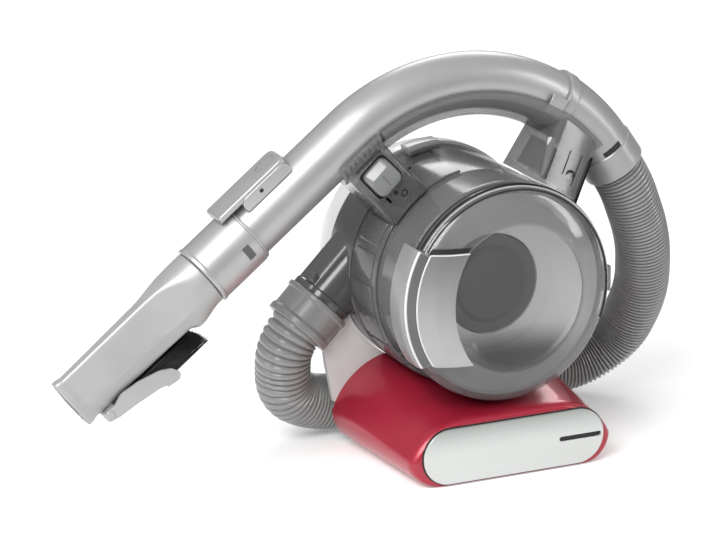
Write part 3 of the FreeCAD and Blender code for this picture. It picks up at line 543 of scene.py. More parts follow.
# The bowl's wall, with the two ears that carry the door's hinge.
bowl = lathe("bowl_barrel", rounded([
    (72.0, -52, 0.3), (75.2, -52, 0.7), (75.2, -47.5, 0.6), (74.2, -46.5, 0.6), (74.2, -15.2, 0.2),
    (73.9, -15.0, 0.1), (73.9, -14.4, 0.1), (74.2, -14.2, 0.2), (74.2, 58, 0.3), (72.0, 58, 0.3)], 3),
    steps=160)
ears = []
for low in (109.0, 133.0):
    ears.append(rod("ear", HINGE + Z * low, HINGE + Z * (low + LUG_HEIGHT), 3.1, 0.4))
    arm = prism("ear_arm", rectangle(73.5, 77.5, -36.5, -31.5, 0.6), on_plan, low, low + LUG_HEIGHT)
    ears.append(bevel(arm, 0.4))
piece(join("bowl_shell_looks", bowl, *ears), "body", "smoke", "bowl_shell")

# The band behind the bowl has raised panels on the -X side.
ring_parts = [lathe("ring", hoop(74.5, 76.3, -14, 23.5, 0.7), start=100, end=252, steps=90)]
for k in range(6):
    first = 146 + 17 * k
    panel = lathe("ring_panel", hoop(76.1, 77.1, -9, 18, 0.5, 3), start=first, end=first + 13, steps=12)
    ring_parts.append(bevel(panel, 0.5, 2))
piece(join("transition_ring_looks", *ring_parts), "body", FRAME_SMOKE, "transition_ring", slot="smoke")

# The duct slopes down from the drum's side to the hose, with a key on top.
inlet_skin = lathe("inlet_skin", hoop(74.5, 77.1, 24, 57.6, 0.8), start=114, end=246, steps=80)
duct = lathe("duct", rounded([
    (17.5, -46, 0), (21.5, -46, 0), (21.5, -5.4, 0.4), (22.3, -4.4, 0.5), (22.3, 0, 0.3),
    (17.5, 0, 0.3)], 4), DUCT, steps=96)
carve(duct, drum_room(74.6, -20, 120), drum_room(76.3, 58, 120))
key = prism("duct_key", rectangle(-4, 4, -12, -5, 1.2),
            lambda y, s, r: DUCT_MOUTH + DUCT_WAY * s + DUCT[3] * -r + Y * (y - 8), 17, 22.6)
inlet = join("inlet_duct_looks", inlet_skin, duct, bevel(key, 0.5))
piece(inlet, "body", DUCT_SMOKE, "inlet_duct", slot="smoke")

cuff = lathe("hose_cuff_looks", rounded([
    (17.5, 0.1, 0), (24.2, 0.1, 0.9), (24.2, 3.4, 0.8), (23.0, 4.4, 0.8), (22.8, 17.5, 0.8),
    (24.2, 19.6, 0.9), (24.2, 24, 1.0), (19.4, 24, 0.4), (19.4, 4, 0), (17.5, 4, 0)], 5), DUCT, steps=96)
piece(cuff, "body", CUFF_GREY, "hose_cuff", slot="dark_grey")

tab = lathe("tab", rounded([
    (75.0, 42, 0.3), (78.2, 42, 1.2), (80.6, 45, 1.6), (80.6, 56, 1.2), (75.0, 56, 0.3)], 4),
    start=90, end=107, steps=20)
stem = lathe("tab_stem", [(70.0, 43), (75.4, 43), (75.4, 47), (70.0, 47)], start=96, end=102, steps=6)
piece(join("filter_tab_looks", bevel(tab, 1.0), stem), "cleaner", TAB_GREY, "filter_tab", slot="light_grey")

# ---------------- bowl door
KNUCKLE_LOW, KNUCKLE_HIGH = 115.3, 132.7
LATCH_ARMS = (105.8, 136.4)
PANEL_LOW, PANEL_HIGH = 83, 160.5
RIM_RISE = 36.2

# The dome's outside, its inner edge round the window and its inside, as (radius, along).
dome = [tuple(p) for p in curve_through([
    (74.3, -57.6), (73.3, -61.2), (70.0, -64.9), (65.0, -67.7), (58.5, -70.2), (53.0, -71.9)], 7)]
door_outline = [(71.5, -54), (74.2, -54), (74.3, -54.9), (73.8, -55.15), (74.3, -55.4), (74.35, -56.3),
                (73.85, -56.55), (74.35, -56.8)] + dome
door_outline += [(52.0, -72.3), (50.9, -72.4), (50.1, -72.1), (49.95, -71.4), (49.95, -69.6), (51, -69.4)]
door_outline += [tuple(p) for p in curve_through([
    (58.6, -67.9), (66, -64.4), (70.4, -60.6), (71.5, -57)], 5)]
door_parts = [lathe("door_dome", door_outline, steps=180)]


def plan_block(name, x0, x1, y0, y1, z0, z1, edge=0.5):
    """A box with eased edges."""
    block = prism(name, rectangle(x0, x1, y0, y1, edge), on_plan, z0, z1)
    return bevel(block, edge * 0.7)


def outside_heights(low, high):
    """Cutters at the front, below one height and above another."""
    return [plan_block("above", -90, 10, -90, -40, high, 240),
            plan_block("below", -90, 10, -90, -40, 0, low)]


door_parts.append(plan_block("door_arm", 75.7, 78.7, -58, -34, KNUCKLE_LOW, KNUCKLE_HIGH))
door_parts.append(plan_block("door_lug", 72.4, 78.6, -58.4, -54.4, KNUCKLE_LOW, KNUCKLE_HIGH))
door_parts.append(rod("door_knuckle", HINGE + Z * KNUCKLE_LOW, HINGE + Z * KNUCKLE_HIGH, 3.1, 0.4))
for low in LATCH_ARMS:
    door_parts.append(plan_block("latch_arm", -75.2, -70.9, -62, -58, low, low + LUG_HEIGHT, 0.3))
piece(join("door_ring_looks", *door_parts), "door", DOOR_SMOKE, "door_ring", slot="smoke")

front_face = [tuple(p) for p in curve_through([
    (0, -63.5), (4, -63.55), (16, -64.3), (27, -65.8), (37, -68.4), (44, -71.0)], 6)]
back_face = [tuple(p) for p in curve_through([
    (44, -68.9), (37, -66.4), (27, -63.9), (16, -62.3), (4, -61.55), (0, -61.5)], 6)]
window_edge = [(47.5, -71.9), (49.4, -71.9), (49.8, -71.4), (49.8, -69.6), (47.5, -69.5)]
window = lathe("door_window_looks", front_face + window_edge + back_face, steps=160)
piece(window, "door", "clear_smoke", "door_window")

# The panel is cut off level above and below, and by a wide circle on its inner side.
panel = lathe("latch_panel_looks", rounded([
    (70.4, -66.0, 0.3), (60, -70.6, 3), (52.4, -72.5, 0.3), (44.6, -73.0, 0.3),
    (44.6, -75.2, 0.3), (52, -75.0, 8), (60.8, -73.4, 6), (71.6, -67.7, 1.0)], 5),
    start=125, end=240, steps=110)
carve(panel, *outside_heights(PANEL_LOW, PANEL_HIGH),
      rod("inner_edge", (20, -90, 124), (20, -40, 124), 67, 0.1, steps=200))
piece(bevel(panel, 1.2, 4), "door", LATCH_SILVER_SHADED, "latch_panel", slot="light_grey")
# A light bead round the panel's rim and along its top edge is painted highlight.
panel_rim = [lathe("panel_rim", bead(71.3, -67.5, 0.55), start=149.5, end=214, steps=60)]
top_line = [(-math.sqrt(r * r - RIM_RISE ** 2), y, AXIS.z + RIM_RISE)
            for r, y in ((71.5, -67.7), (66, -70.9), (60.8, -73.3), (51.5, -75.1))]
for a, b in zip(top_line, top_line[1:]):
    panel_rim.append(rod("panel_rim", a, b, 0.5, 0.1, steps=12))
piece(join("panel_rim", *panel_rim), "door", PAINTED_HIGHLIGHT)
# Dark and bright hoops round the dome are painted shade and painted highlight on the rim's ridges. The dark
# strips in the gaps beside and above the panel are painted shade.
for r, y, wide, finish in ((75.2, -58.4, 0.3, NEAR_BLACK), (74.3, -61.3, 0.35, PAINTED_HIGHLIGHT),
                           (72.6, -63.7, 0.3, NEAR_BLACK)):
    section = [(r - 1.2, y + 0.5 - wide), (r, y - wide), (r + 0.1, y), (r, y + wide),
               (r - 1.2, y + 0.5 + wide)]
    piece(lathe("door_line", section, start=-20, end=149, steps=90), "door", finish)
gap_section = [(71.7, -66.3), (69.8, -67.2), (69.4, -65.7), (71.3, -65.0)]
piece(lathe("latch_gap_shade", gap_section, start=149, end=214, steps=50), "door", NEAR_BLACK)
top_gap_section = [(71.2, -65.0), (65.3, -68.4), (58.8, -70.9), (52.0, -72.9),
                   (51.8, -72.1), (58.4, -70.1), (64.8, -67.6), (70.6, -64.4)]
top_gap = lathe("panel_gap_shade", top_gap_section, start=122, end=156, steps=40)
carve(top_gap, *outside_heights(AXIS.z + RIM_RISE, 163.4))
piece(top_gap, "door", NEAR_BLACK)

# The lever is a broad band round the door's edge. A dark skin over its front face is painted shade, and a
# light bead on its ridge is painted highlight.
lever = lathe("lever_band", rounded([
    (71.3, -66.6, 0.5), (77.5, -63.4, 1.8), (78.8, -57, 3), (78.6, -41.6, 1.0), (75.4, -41.2, 0.4),
    (75.4, -46.9, 0.2), (75.8, -47.0, 0.3), (75.7, -61.8, 1.0), (70.9, -65.2, 0.4)], 5),
    start=150, end=213, steps=70)
piece(bevel(lever, 0.8, 3), "latch", LATCH_SIDE, "latch_lever", slot="light_grey")
face_section = [(71.2, -67.0), (77.0, -64.3), (76.6, -63.6), (71.0, -66.2)]
piece(lathe("lever_face", face_section, start=150.5, end=212.5, steps=60), "latch", LATCH_SHADED_FACE)
ridge = lathe("lever_ridge", bead(77.1, -62.7, 1.1), start=150.5, end=212.5, steps=60)
piece(ridge, "latch", PAINTED_HIGHLIGHT)

# ---------------- handle
DROP = 5.0
OUTER_MIDDLE, OUTER = -1.18, 22.82
TUBE_FIT = 19.5
SLEEVE_FIT = 21.3
CRADLE_FIRST, CRADLE_LAST = 32.0, -50.0
SLEEVE_FIRST = -29.5
RIPPLE_PITCH = 4.2
BUTTON_ROOM = 11.5
ROOM_LOW, ROOM_HIGH = 95.8, 124.8
ROOM_DEPTH = -15.9
PANEL_DEPTH = -18.0


def cradle_section(bore):
    """A trough round the underside of the tube, as (across, height) corners."""
    a = math.asin((DROP + OUTER_MIDDLE) / OUTER)
    b = math.asin(DROP / bore)
    out = []
    for k in range(33):
        t = math.pi + a + (math.pi - 2 * a) * k / 32
        out.append((OUTER * math.cos(t), OUTER_MIDDLE + OUTER * math.sin(t)))
    out += [(out[-1][0] - 0.15, -DROP + 0.45), (out[-1][0] - 0.9, -DROP + 0.6)]
    inner = []
    for k in range(33):
        t = 2 * math.pi - b - (math.pi - 2 * b) * k / 32
        inner.append((bore * math.cos(t), bore * math.sin(t)))
    out += [(inner[0][0] + 0.5, -DROP + 0.6)] + inner + [(inner[-1][0] - 0.5, -DROP + 0.6)]
    out += [(-out[34][0], -DROP + 0.6), (-out[33][0], -DROP + 0.45)]
    return out


rings = []
for k in range(61):
    slope = CRADLE_FIRST + (CRADLE_LAST - CRADLE_FIRST) * k / 60
    bore = TUBE_FIT if slope > SLEEVE_FIRST else SLEEVE_FIT
    rings.append([wand(slope_at(slope), y, n) for y, n in cradle_section(bore)])
# The cradle's lower end is wavy and tapers up to the tube.
ripples = []
for k in range(81):
    s = -12 + 36 * k / 80
    taper = 5.5 * max(0.0, (s - 15) / 9) ** 2.2
    swell = 0.55 * math.sin(s * 2 * math.pi / RIPPLE_PITCH) - taper
    ring = []
    for y, n in cradle_section(TUBE_FIT):
        low_share = max(0.0, (-n - 5) / 18)
        ring.append(wand(s, y * (1 + swell / 30), min(n, n - swell * low_share)))
    ripples.append(ring)
spoke = on_spoke(133)


def button_room(low, front, back):
    """The slot that the button slides in."""
    return prism("button_room", rectangle(-BUTTON_ROOM, BUTTON_ROOM, low, ROOM_HIGH, 3), spoke, front, back)


cradle_end = skin("cradle_end", ripples)
carve(cradle_end, button_room(108, -26, ROOM_DEPTH))
cradle = join("handle_cradle_looks", skin("cradle", rings), cradle_end)
piece(cradle, "body", "smoke", "handle_cradle")


def tube_room(radius):
    """A cutter along the wand's middle line."""
    return skin("tube_room", [[wand(s, y, n) for y, n in ring_outline(radius, 72)]
                              for s in range(60, -224, -4)])


def above_seam():
    """A cutter for everything over the seam between the tube and what carries it."""
    corners = ((-40, -DROP), (40, -DROP), (40, 70), (-40, 70))
    return skin("above_seam", [[wand(s, y, n) for y, n in corners] for s in range(60, -220, -5)])


# The bracket on the -X side holds the sliding button in a framed slot.
block = prism("switch_block", rectangle(-17, 17, -18, 22, 4.0), lambda t, y, r: spoke(t, r, y), 70, 132)
carve(block, drum_room(76.6), tube_room(TUBE_FIT), above_seam())
block = bevel(block, 1.2, 3, 50)
carve(block, button_room(ROOM_LOW, -24, ROOM_DEPTH))
piece(block, "body", FRAME_SMOKE, "switch_bracket", slot="smoke")
frame_edge = prism("switch_frame", rectangle(-13, 13, 94.4, 120.2, 4), spoke, -18.9, -17.6)
carve(frame_edge, button_room(ROOM_LOW, -24, -10))
piece(bevel(frame_edge, 0.5), "body", FRAME_SMOKE)
room_floor = prism("switch_dark", rectangle(-11.4, 11.4, 95.9, 118.7, 3), spoke, -16.2, -15.7)
piece(room_floor, "body", NEAR_BLACK)
# The button has a long foot and a shorter, raised cap.
button_rings = []
for half, low, high, corner, depth in ((10.25, 97, 117.5, 4.2, -16), (10.25, 97, 117.5, 4.2, -18.4),
                                       (10.2, 97.1, 117.2, 4.2, -19.0), (9.9, 97.4, 113.0, 4.2, -22.6),
                                       (9.4, 98.0, 112.4, 4.2, -23.2), (7.5, 100, 110.5, 3, -23.4)):
    button_rings.append([spoke(a, b, depth) for a, b in rectangle(-half, half, low, high, corner)])
button = skin("switch_button_looks", button_rings)
carve(button, prism("groove", rectangle(-0.8, 0.8, 101.0, 109.6, 0.6), spoke, -25, -22.7))
piece(button, "switch", BUTTON_GREY, "switch_button", slot="light_grey")
ring = rod("switch_ring", spoke(-3.5, 86.4, -18.1), spoke(-3.5, 86.4, -17), 2.6, 0.2, 1.7)
piece(ring, "body", NEAR_BLACK)
slit = prism("switch_slot", rectangle(6.5, 8.3, 88.5, 96.5, 0.8), spoke, PANEL_DEPTH, -17.4)
piece(slit, "body", NEAR_BLACK)
centre = spoke(0.5, 91.4, PANEL_DEPTH - 0.2)
piece(rod("switch_hole", centre, centre + Y, 1.5, 0.1), "body", NEAR_BLACK)

# The clear support on the +X side has a slanting front face, three pockets and dark marks.
support = on_spoke(52)
SUPPORT_START = 64


def support_front(r):
    """Where the slanting front face of the support is along Y."""
    return -46 + 26 * (r - SUPPORT_START) / 60


def on_support(t, r, depth):
    """A place under the slanting front face of the support."""
    return support(t, r, support_front(r) + depth)


rings = []
for k in range(13):
    r = SUPPORT_START + 62 * k / 12
    back = 12 + 8 * (r - SUPPORT_START) / 60
    rings.append([support(t, r, y) for t, y in rectangle(-18, 18, support_front(r), back, 5.0)])
bracket = skin("support_bracket_looks", rings)
carve(bracket, drum_room(75.6), tube_room(23.0), above_seam())
for offset in (-11.0, 0.0, 11.0):
    carve(bracket, prism("pocket", rectangle(offset - 4.2, offset + 4.2, 80, 100.5, 1.5), support, -26, 34))
piece(bracket, "body", CLEAR_FRAME, "support_bracket", slot="smoke")


def support_strip(name, corners, low, high):
    """A dark strip along the support, with its corners as (across, depth)."""
    strip = skin(name, [[on_support(t, r, depth) for t, depth in corners] for r in (low, high)])
    piece(strip, "body", NEAR_BLACK)


for t, low, high, wide in ((2.0, 87, 104, 0.55), (-8.0, 84, 106, 0.55), (-15.2, 82, 106, 0.7),
                           (13.5, 78, 99, 0.5)):
    rib_corners = ((t - wide, -0.05), (t + wide, -0.05), (t + wide, 6), (t - wide, 6))
    support_strip("support_rib", rib_corners, low, high)
support_strip("support_edge", ((-18.15, 4), (-17.3, -0.1), (-17.3, 30), (-18.15, 30)), 76.2, 109)
pipe = rod("support_pillar", on_support(11.5, 78, 5), on_support(16.5, 104, 6), 2.6, 1.2)
piece(pipe, "body", LIGHT_PIPE)
centre = on_support(-4.6, 89.6, -0.3)
piece(rod("screw_ring", centre, centre + Y * 2, 3.9, 0.2, 2.6), "body", NEAR_BLACK)

# ---------------- wand
SKIN = 19.05
TUBE_END = 120
ROCKER_PIVOT = 70

tube = wand_lathe("tube", dense(rounded([
    (TUBE_END, BORE, 0.2), (TUBE_END, TUBE, 0.3), (ARCH_END, TUBE, 0), (ARCH_END, BORE, 0)], 2), 4), 96)
# The lug carries the rocker's pivot.
lug_shape = rounded([(73, 16.5, 0), (73, 24.6, 3), (67, 24.6, 3), (67, 16.5, 0)], 6)
lug = prism("lug", lug_shape, on_wand_side, -8.7, 8.7)
piece(join("wand_tube_looks", tube, lug), "wand", "wand_silver", "wand_tube")


def wand_patch(name, s0, s1, low, high, radius, lift=0.12):
    """A thin plate that follows the tube between two angles, 0 towards +Y and 90 outwards."""
    rings = []
    for k in range(13):
        a = math.radians(low + (high - low) * k / 12)
        y, n = math.cos(a), math.sin(a)
        rings.append([wand(s, y * r, n * r) for s, r in ((s0, radius - 0.4), (s0, radius + lift),
                                                         (s1, radius + lift), (s1, radius - 0.4))])
    return skin(name, rings)


start = slope_at(-32)
sleeve = wand_lathe("elbow_sleeve_looks", dense(rounded([
    (start, SKIN, 0), (start, 21.4, 0.5), (start - 7, 21.4, 0.5), (start - 8, 20.6, 0.5),
    (ARCH_END + 2, 20.7, 0.4), (ARCH_END + 1, 21.6, 0.5), (ARCH_END - 17, 21.9, 0.8),
    (ARCH_END - 17, 19.35, 0.3), (ARCH_END - 3, 19.35, 0), (ARCH_END - 3, BORE, 0),
    (ARCH_END, BORE, 0), (ARCH_END, SKIN, 0)], 3), 3), 96)
piece(sleeve, "wand", SLEEVE_GREY, "elbow_sleeve", slot="wand_silver")
sleeve_slot = wand_patch("sleeve_slot", ARCH_END + 1.5, ARCH_END + 6.0, 163, 203, 20.7)
piece(sleeve_slot, "wand", NEAR_BLACK)
clip = wand_patch("sleeve_clip", start + 0.5, start + 13, 172, 208, 21.4, 1.3)
piece(bevel(clip, 0.5), "wand", SLEEVE_GREY)

collar = wand_lathe("nozzle_collar_looks", dense(rounded([
    (93, SKIN, 0), (93, 20.8, 0.5), (94.6, 21.2, 0.3), (95.0, 20.7, 0.2), (95.6, 21.6, 0.5),
    (131.4, 21.7, 2), (132.6, 22.2, 0.5), (135, 22.2, 0.9), (135, BORE, 0), (TUBE_END + 0.2, BORE, 0),
    (TUBE_END + 0.2, SKIN, 0)], 4), 4), 96)
piece(collar, "wand", "wand_silver", "nozzle_collar")
piece(wand_patch("collar_window", 101, 106.5, 168, 196, 21.6), "wand", FLANGE_GREY)
piece(wand_patch("collar_mark", 101, 106.5, 204, 222, 21.6, 0.25), "wand", "wand_silver")

# The rocker: a bar over the tube, a web and a claw under the bar, and a cheek on each side.
bar_shape = rounded([(44, -11.2, 5.5), (104, -11.2, 2.5), (104, 11.2, 2.5), (44, 11.2, 5.5)], 8)
bar = bevel(prism("rocker_bar", bar_shape, wand, 22.6, 27.2), 1.5, 4)
pad_shape = rounded([(47.5, -5.6, 5.2), (63, -5.6, 5.2), (63, 5.6, 5.2), (47.5, 5.6, 5.2)], 8)
carve(bar, prism("pad", pad_shape, wand, 26.5, 29))
web = prism("rocker_web", rounded([
    (46, 24, 1), (98, 24, 1), (98, 23.6, 0.3), (86, 23.6, 1.5), (84.5, 20.0, 2.0), (81, 17.8, 2.5),
    (70, 17.8, 4), (56, 18.4, 5), (46, 21.8, 2.0)], 5), on_wand_side, -10.3, 10.3)
carve(web, prism("rocker_room", rectangle(48, 84.4, 10, 23.4, 0.4), on_wand_side, -8.9, 8.9))
claw_shape = rounded([(104, 23.5, 0), (104, 21.9, 0.5), (100.5, 21.9, 0.5), (100.5, 23.5, 0)], 3)
claw = prism("rocker_claw", claw_shape, on_wand_side, -9, 9)
rocker_parts = [bar, web, claw]
cheek_shape = rounded([(45.5, 25.0, 6.2), (86, 25.0, 6.2), (86, 12.6, 6.2), (45.5, 12.6, 6.2)], 8)
for y, side in ((-12.2, -1), (9.4, 1)):
    cheek = bevel(prism("rocker_cheek", cheek_shape, on_wand_side, y, y + 2.8), 0.8, 3)
    carve(cheek, rod("tube_room", wand(30, 0, 0), wand(100, 0, 0), 20.1, 0.1, steps=120))
    rocker_parts.append(cheek)
    mark = on_wand_side(ROCKER_PIVOT, 21.0, 12.25 * side)
    piece(rod("pin_mark", mark, mark - Y * 0.6 * side, 1.5, 0.1), "rocker", NEAR_BLACK)
piece(join("rocker_latch_looks", *rocker_parts), "rocker", "wand_silver", "rocker_latch")

# ---------------- nozzle and brush


def eased(value, low, high):
    """0 below the span, 1 above it and smooth between."""
    t = min(max((value - low) / (high - low), 0), 1)
    return t * t * (3 - 2 * t)


def between(a, b, t):
    return a + (b - a) * t


SHARP = 30.0
MOUTH = 255
WALL = 2.2
PIN_S, PIN_N = 241, -21.4


def nozzle_section(s, grow=0.0):
    """Round at the collar, cut by flats that close in towards the mouth."""
    face, late, end = eased(s, 134, 182), eased(s, 157, 165), min(max((s - 171) / 84, 0), 1)
    upper = between(20.8, between(11.5, 9.7, end), face)
    lower = between(24, 15.2 - 2.3 * end, eased(s, 136, 184))
    height = 17.9 - 0.8 * end
    flats = [((0.9155, 0.4024), upper), ((-0.9155, 0.4024), upper),
             ((0.931, -0.365), lower), ((-0.931, -0.365), lower),
             ((0, 1), between(21, height, face)), ((0, -1), between(25, height, late))]
    bulge = 3.6 * eased(s, 138, 156) * (1 - late)
    barrel = between(20.5, 16.4 - 1.6 * end, eased(s, 140, 190))
    flare = 1.1 * eased(s, 247, 252.5)
    ring = []
    for k in range(180):
        a = 2 * math.pi * k / 180
        wy, wn = math.cos(a), math.sin(a)
        down = max(0.0, -wn) ** 2
        round_part = between(barrel, max(barrel, 20.5), abs(wn) ** 3) + bulge * down
        total = round_part ** -SHARP
        for (ny, nn), d in flats:
            facing = ny * wy + nn * wn
            if facing > 0:
                total += (facing / d) ** SHARP
        r = total ** (-1 / SHARP) + grow + flare
        ring.append(wand(s, r * wy, r * wn))
    return ring


rings = [nozzle_section(135.3, -0.8), nozzle_section(136.2)]
rings += [nozzle_section(138 + 1.5 * k) for k in range(73)]
rings += [nozzle_section(s) for s in (247, 249, 250.5, 252, 254.2)]
rings += [nozzle_section(MOUTH, -0.6), nozzle_section(MOUTH, -1.8)]
rings += [nozzle_section(MOUTH - 4, -WALL), nozzle_section(MOUTH - 40, -WALL)]
nozzle = skin("nozzle", rings)
foot = prism("foot", rounded([(244.2, -15.5, 0), (244, -24.4, 3), (238, -24.4, 3), (237.8, -15.5, 0)], 5),
             on_wand_side, -6, 6)
piece(join("crevice_nozzle_looks", nozzle, bevel(foot, 0.4)), "nozzle", "nozzle_grey", "crevice_nozzle")

TILT = math.radians(16)


def on_brush(a, h, y):
    """A place along the carrier from its pin, and upwards from it."""
    s = PIN_S - a * math.cos(TILT) - h * math.sin(TILT)
    n = PIN_N - a * math.sin(TILT) + h * math.cos(TILT)
    return wand(s, y, n)


carrier = prism("brush_channel", rounded([
    (-3.4, -2.4, 1.5), (-1.2, -3.8, 1.5), (6, -3.9, 4), (20, -1.9, 10), (38, -0.5, 2), (41.5, -0.8, 1.2),
    (43.5, -2.6, 1.0), (52.0, -1.6, 1.2), (54, 0.8, 1.2), (54.3, 3.2, 1.5), (50, 8.0, 4),
    (42, 10.8, 10), (26, 11.6, 14), (12, 10.0, 5), (5.5, 5.2, 3), (0.5, 3.8, 2), (-3.0, 2.4, 1.5)], 6),
    on_brush, -12, 12)
carve(carrier, prism("carrier_room", [(4.5, 0.8), (75, 0.8), (75, 31), (4.5, 31)], on_brush, -10.4, 10.4),
      prism("foot_room", [(-10.5, -10), (7.5, -10), (7.5, 20), (-10.5, 20)], on_brush, -6.2, 6.2))
knuckle = rod("brush_knuckle", wand(PIN_S, -12.6, PIN_N), wand(PIN_S, 12.6, PIN_N), 3.3, 0.7)
carrier = join("brush_carrier_looks", bevel(carrier, 0.5, 3, 50), knuckle)
piece(carrier, "brush", "nozzle_grey", "brush_carrier")

# Each bristle is a thin three-sided spike that leans more towards its tip.
BRISTLES = 1300
points, faces = [], []
for _ in range(BRISTLES):
    y = random.uniform(-7.8, 7.8)
    n = random.uniform(-33.6, -20.2)
    lean_y, lean_n = random.gauss(0, 0.35), random.gauss(-0.2, 0.35)
    tip = 160 + (n + 33.8) / 13.4 * 7 + random.gauss(0, 0.7)
    root = min(221.0, 193.4 + (n + 34.1) / 8 * 27.6)
    thick = random.uniform(0.14, 0.24)
    start_index = len(points)
    for share, width in ((0, 1.0), (0.5, 0.9), (1, 0.4)):
        s = root + (tip - root) * share
        bend = share * share
        for dy, dn in ((1, 0), (-0.5, 0.87), (-0.5, -0.87)):
            points.append(wand(s, y + lean_y * bend + dy * thick * width,
                               n + lean_n * bend + dn * thick * width))
    for level in range(2):
        a = start_index + 3 * level
        for k in range(3):
            m = (k + 1) % 3
            faces.append((a + k, a + m, a + 3 + m, a + 3 + k))
    faces.append((start_index + 6, start_index + 7, start_index + 8))
mesh = bpy.data.meshes.new("brush_bristles_looks")
mesh.from_pydata([tuple(p * MM) for p in points], [], faces)
mesh.shade_smooth()
bristles = bpy.data.objects.new("brush_bristles_looks", mesh)
bpy.context.scene.collection.objects.link(bristles)
piece(bristles, "brush", "bristle", "brush_bristles")

# ---------------- hose
HOSE, VALLEY = 19.3, 17.0
PITCH, STRETCH = 2.9, 1.5
LOOP = 118
ROUTE = [
    ELBOW + ELBOW_WAY * 4.0, ELBOW + ELBOW_WAY * 34.0, Vector((143.5, 12, 126)), Vector((155, 33, 80)),
    Vector((150, 54, 43)), Vector((124, 64, 22.8)), Vector((76, 66, 19.9)), Vector((20, 65, 20.4)),
    Vector((-34, 66, 19.9)), Vector((-84, 65, 21.0)), Vector((-112, 57, 36)), DUCT_MOUTH + DUCT_WAY * 38.0,
    DUCT_MOUTH + DUCT_WAY * 4.4,
]


def rounded_route(points):
    """Straight runs joined by tangent arcs, sampled finely."""
    line = [points[0]]
    for i in range(1, len(points) - 1):
        before, after = points[i] - points[i - 1], points[i + 1] - points[i]
        half = before.angle(after) / 2
        back = 0.45 * min(before.length, after.length)
        radius = back / math.tan(half)
        u, v = before.normalized(), after.normalized()
        centre = points[i] + (v - u).normalized() * (radius / math.cos(half))
        first, last = points[i] - u * back - centre, points[i] + v * back - centre
        for k in range(25):
            t = k / 24
            way = first * math.sin((1 - t) * 2 * half) + last * math.sin(t * 2 * half)
            line.append(centre + way / math.sin(2 * half))
    line.append(points[-1])
    return line


line = rounded_route(ROUTE)
marks = [0.0]
for i in range(1, len(line)):
    marks.append(marks[-1] + (line[i] - line[i - 1]).length)
LENGTH = marks[-1]


def on_route(t):
    """The point at a length along the hose."""
    t = min(max(t, 0), LENGTH)
    i = 1
    while i < len(marks) - 1 and marks[i] < t:
        i += 1
    share = (t - marks[i - 1]) / max(marks[i] - marks[i - 1], 1e-9)
    return line[i - 1].lerp(line[i], share)


# The ribs stand closer together on the long run and stretch in the loop before the duct.
stations = []
t = 0.0
while t < LENGTH:
    pitch = PITCH + STRETCH * min(1.0, max(0.0, t - LENGTH + LOOP) / 50)
    for share in (0.0, 0.1, 0.28, 0.5, 0.72, 0.9):
        if t + share * pitch < LENGTH:
            swell = 1 - abs(2 * share - 1) ** 2.6
            stations.append((t + share * pitch, VALLEY + (HOSE - VALLEY) * swell))
    t += pitch
stations.append((LENGTH, VALLEY))
rings, centres = [], []
across = None
for t, radius in stations:
    here = on_route(t)
    way = (on_route(t + 0.8) - on_route(t - 0.8)).normalized()
    if across is None:
        across = way.orthogonal()
    across = (across - way * across.dot(way)).normalized()
    other = way.cross(across)
    rings.append([here + across * y + other * n for y, n in ring_outline(radius, 48)])
    centres.append(tuple(here * MM))
hose = skin("hose_looks", rings, (False, False))
piece(hose, None, "hose_grey", "hose")
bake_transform(hose)

# ---------------- pieces shown as designed
KEPT = {
    "rear_flange": "light_grey", "battery_cells": "cell_wrap", "battery_tray": "dark_grey",
    "circuit_board": "board", "door_hinge_pin": "steel", "rear_housing": "light_grey",
    "motor_mount": "dark_grey", "motor_can": "steel", "motor_bracket": "dark_grey",
    "exhaust_foam": "foam", "filter_core": "dark_grey", "filter_pleats": "filter_cloth",
    "filter_plate": "dark_grey", "filter_seal": "seal", "bracket_screw": "steel",
    "motor_shaft": "steel", "fan_impeller": "dark_grey", "agitator_ring": "dark_grey",
    "door_gasket": "seal",
}
for name, finish in KEPT.items():
    piece(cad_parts[name], None, finish)
# The latch's pin is shown thinner than its solid.
latch_axis = Vector((-75.9, -60, 0))
latch_pin = rod("latch_pin_looks", latch_axis + Z * LATCH_ARMS[0],
                latch_axis + Z * (LATCH_ARMS[1] + LUG_HEIGHT), 0.6)
piece(latch_pin, "door", "steel", "latch_pin")
piece(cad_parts["rocker_pin"], None, NEAR_BLACK, slot="steel")
piece(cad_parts["brush_pin"], None, SLEEVE_GREY, slot="steel")

# ---------------- seen through the window
baffle = lathe("baffle_disc_looks", rounded([
    (0, -35.2, 0), (34, -34.4, 0.5), (34, -33, 0.4), (0, -33, 0)], 3))
piece(baffle, "body", FLANGE_GREY, "baffle_disc", slot="dark_grey")
# A light liner inside the bowl gives the painted reflection seen through the window, darker at the bottom
# as painted shade.
liner = lathe("bowl_liner", rounded([
    (35.0, -34.2, 0.3), (46, -37.0, 6), (62, -47.5, 6), (68.4, -57.6, 0.3),
    (67.8, -57.9, 0.3), (61, -48.2, 6), (45.4, -37.8, 6), (34.8, -34.8, 0.2)], 6))
piece(liner, "body", LINER_PAINTED_LIGHT)
boss = lathe("baffle_boss", rounded([
    (0, -36.6, 0), (24, -36.4, 3), (27, -35.0, 1), (27, -34.6, 0), (0, -34.6, 0)], 4))
piece(boss, "body", "dark_grey")

# ---------------- floor, light and camera
REACH, GROUND = 6, -0.0005
AIM = Vector((-0.0804, 0, 0.1345))
AWAY = 2.5
AZIMUTH, ELEVATION = math.radians(-25.5), math.radians(17.0)

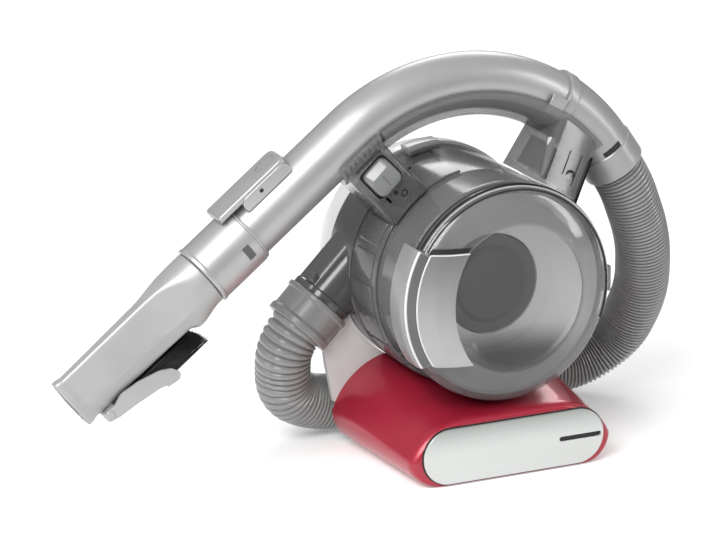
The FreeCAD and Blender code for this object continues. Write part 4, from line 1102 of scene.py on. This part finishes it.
floor_mesh = bpy.data.meshes.new("floor")
floor_mesh.from_pydata([(-REACH, -REACH, GROUND), (REACH, -REACH, GROUND), (REACH, REACH, GROUND),
                        (-REACH, REACH, GROUND)], [], [(0, 1, 2, 3)])
floor = bpy.data.objects.new("floor", floor_mesh)
bpy.context.scene.collection.objects.link(floor)
floor_white = paint("floor_white", (240, 240, 240), 0.9, vary=0.01)
floor_shader = floor_white.node_tree.nodes["Principled BSDF"]
floor_shader.inputs["Emission Color"].default_value = (1, 1, 1, 1)
floor_shader.inputs["Emission Strength"].default_value = 0.2
floor_mesh.materials.append(floor_white)

world = bpy.data.worlds.new("World")
bpy.context.scene.world = world
world.use_nodes = True
sky, sky_links = world.node_tree.nodes, world.node_tree.links
direction = sky.new("ShaderNodeTexCoord")
parts = sky.new("ShaderNodeSeparateXYZ")
sky_links.new(direction.outputs["Generated"], parts.inputs["Vector"])


def sky_ramp(axis, start, end, low, high):
    """Brightness that changes along one direction of the room."""
    ramp = sky.new("ShaderNodeMapRange")
    ramp.interpolation_type = "SMOOTHSTEP"
    for socket, value in (("From Min", start), ("From Max", end), ("To Min", low), ("To Max", high)):
        ramp.inputs[socket].default_value = value
    sky_links.new(parts.outputs[axis], ramp.inputs["Value"])
    return ramp.outputs["Result"]


def sky_sum(a, b):
    total = sky.new("ShaderNodeMath")
    sky_links.new(a, total.inputs[0])
    sky_links.new(b, total.inputs[1])
    return total.outputs["Value"]


room = sky_sum(sky_sum(sky_ramp("Z", 0.0, 0.85, 0.12, 0.62), sky_ramp("X", -1.0, -0.3, 0.35, 0.0)),
               sky_ramp("X", 0.45, 1.0, 0.0, 0.22))
sky_links.new(room, sky["Background"].inputs["Strength"])
sky["Background"].inputs["Color"].default_value = (1, 1, 1, 1)


def area_light(name, place, aim, size, power):
    """A soft light that faces the aim."""
    lamp = bpy.data.lights.new(name, "AREA")
    lamp.shape = "RECTANGLE"
    lamp.size, lamp.size_y = size
    lamp.energy = power
    obj = bpy.data.objects.new(name, lamp)
    obj.location = place
    obj.rotation_euler = (Vector(place) - Vector(aim)).to_track_quat("Z", "Y").to_euler()
    bpy.context.scene.collection.objects.link(obj)


area_light("key", (-1.1, -0.7, 1.25), (0, 0, 0.15), (1.3, 0.9), 34)
area_light("fill", (1.5, -1.0, 0.75), (0, 0, 0.12), (0.25, 1.2), 8)
area_light("rim", (0.7, 1.3, 1.1), (0, 0, 0.15), (1.0, 0.6), 8)

camera = bpy.data.objects.new("Camera", bpy.data.cameras.new("Camera"))
bpy.context.scene.collection.objects.link(camera)
back_way = Vector((math.sin(AZIMUTH) * math.cos(ELEVATION), -math.cos(AZIMUTH) * math.cos(ELEVATION),
                   math.sin(ELEVATION)))
camera.location = AIM + back_way * AWAY
camera.rotation_euler = back_way.to_track_quat("Z", "Y").to_euler()
camera.data.sensor_width = 36
camera.data.lens = 187.5
bpy.context.scene.camera = camera
bpy.context.scene.view_settings.view_transform = "Standard"

bpy.context.view_layer.update()
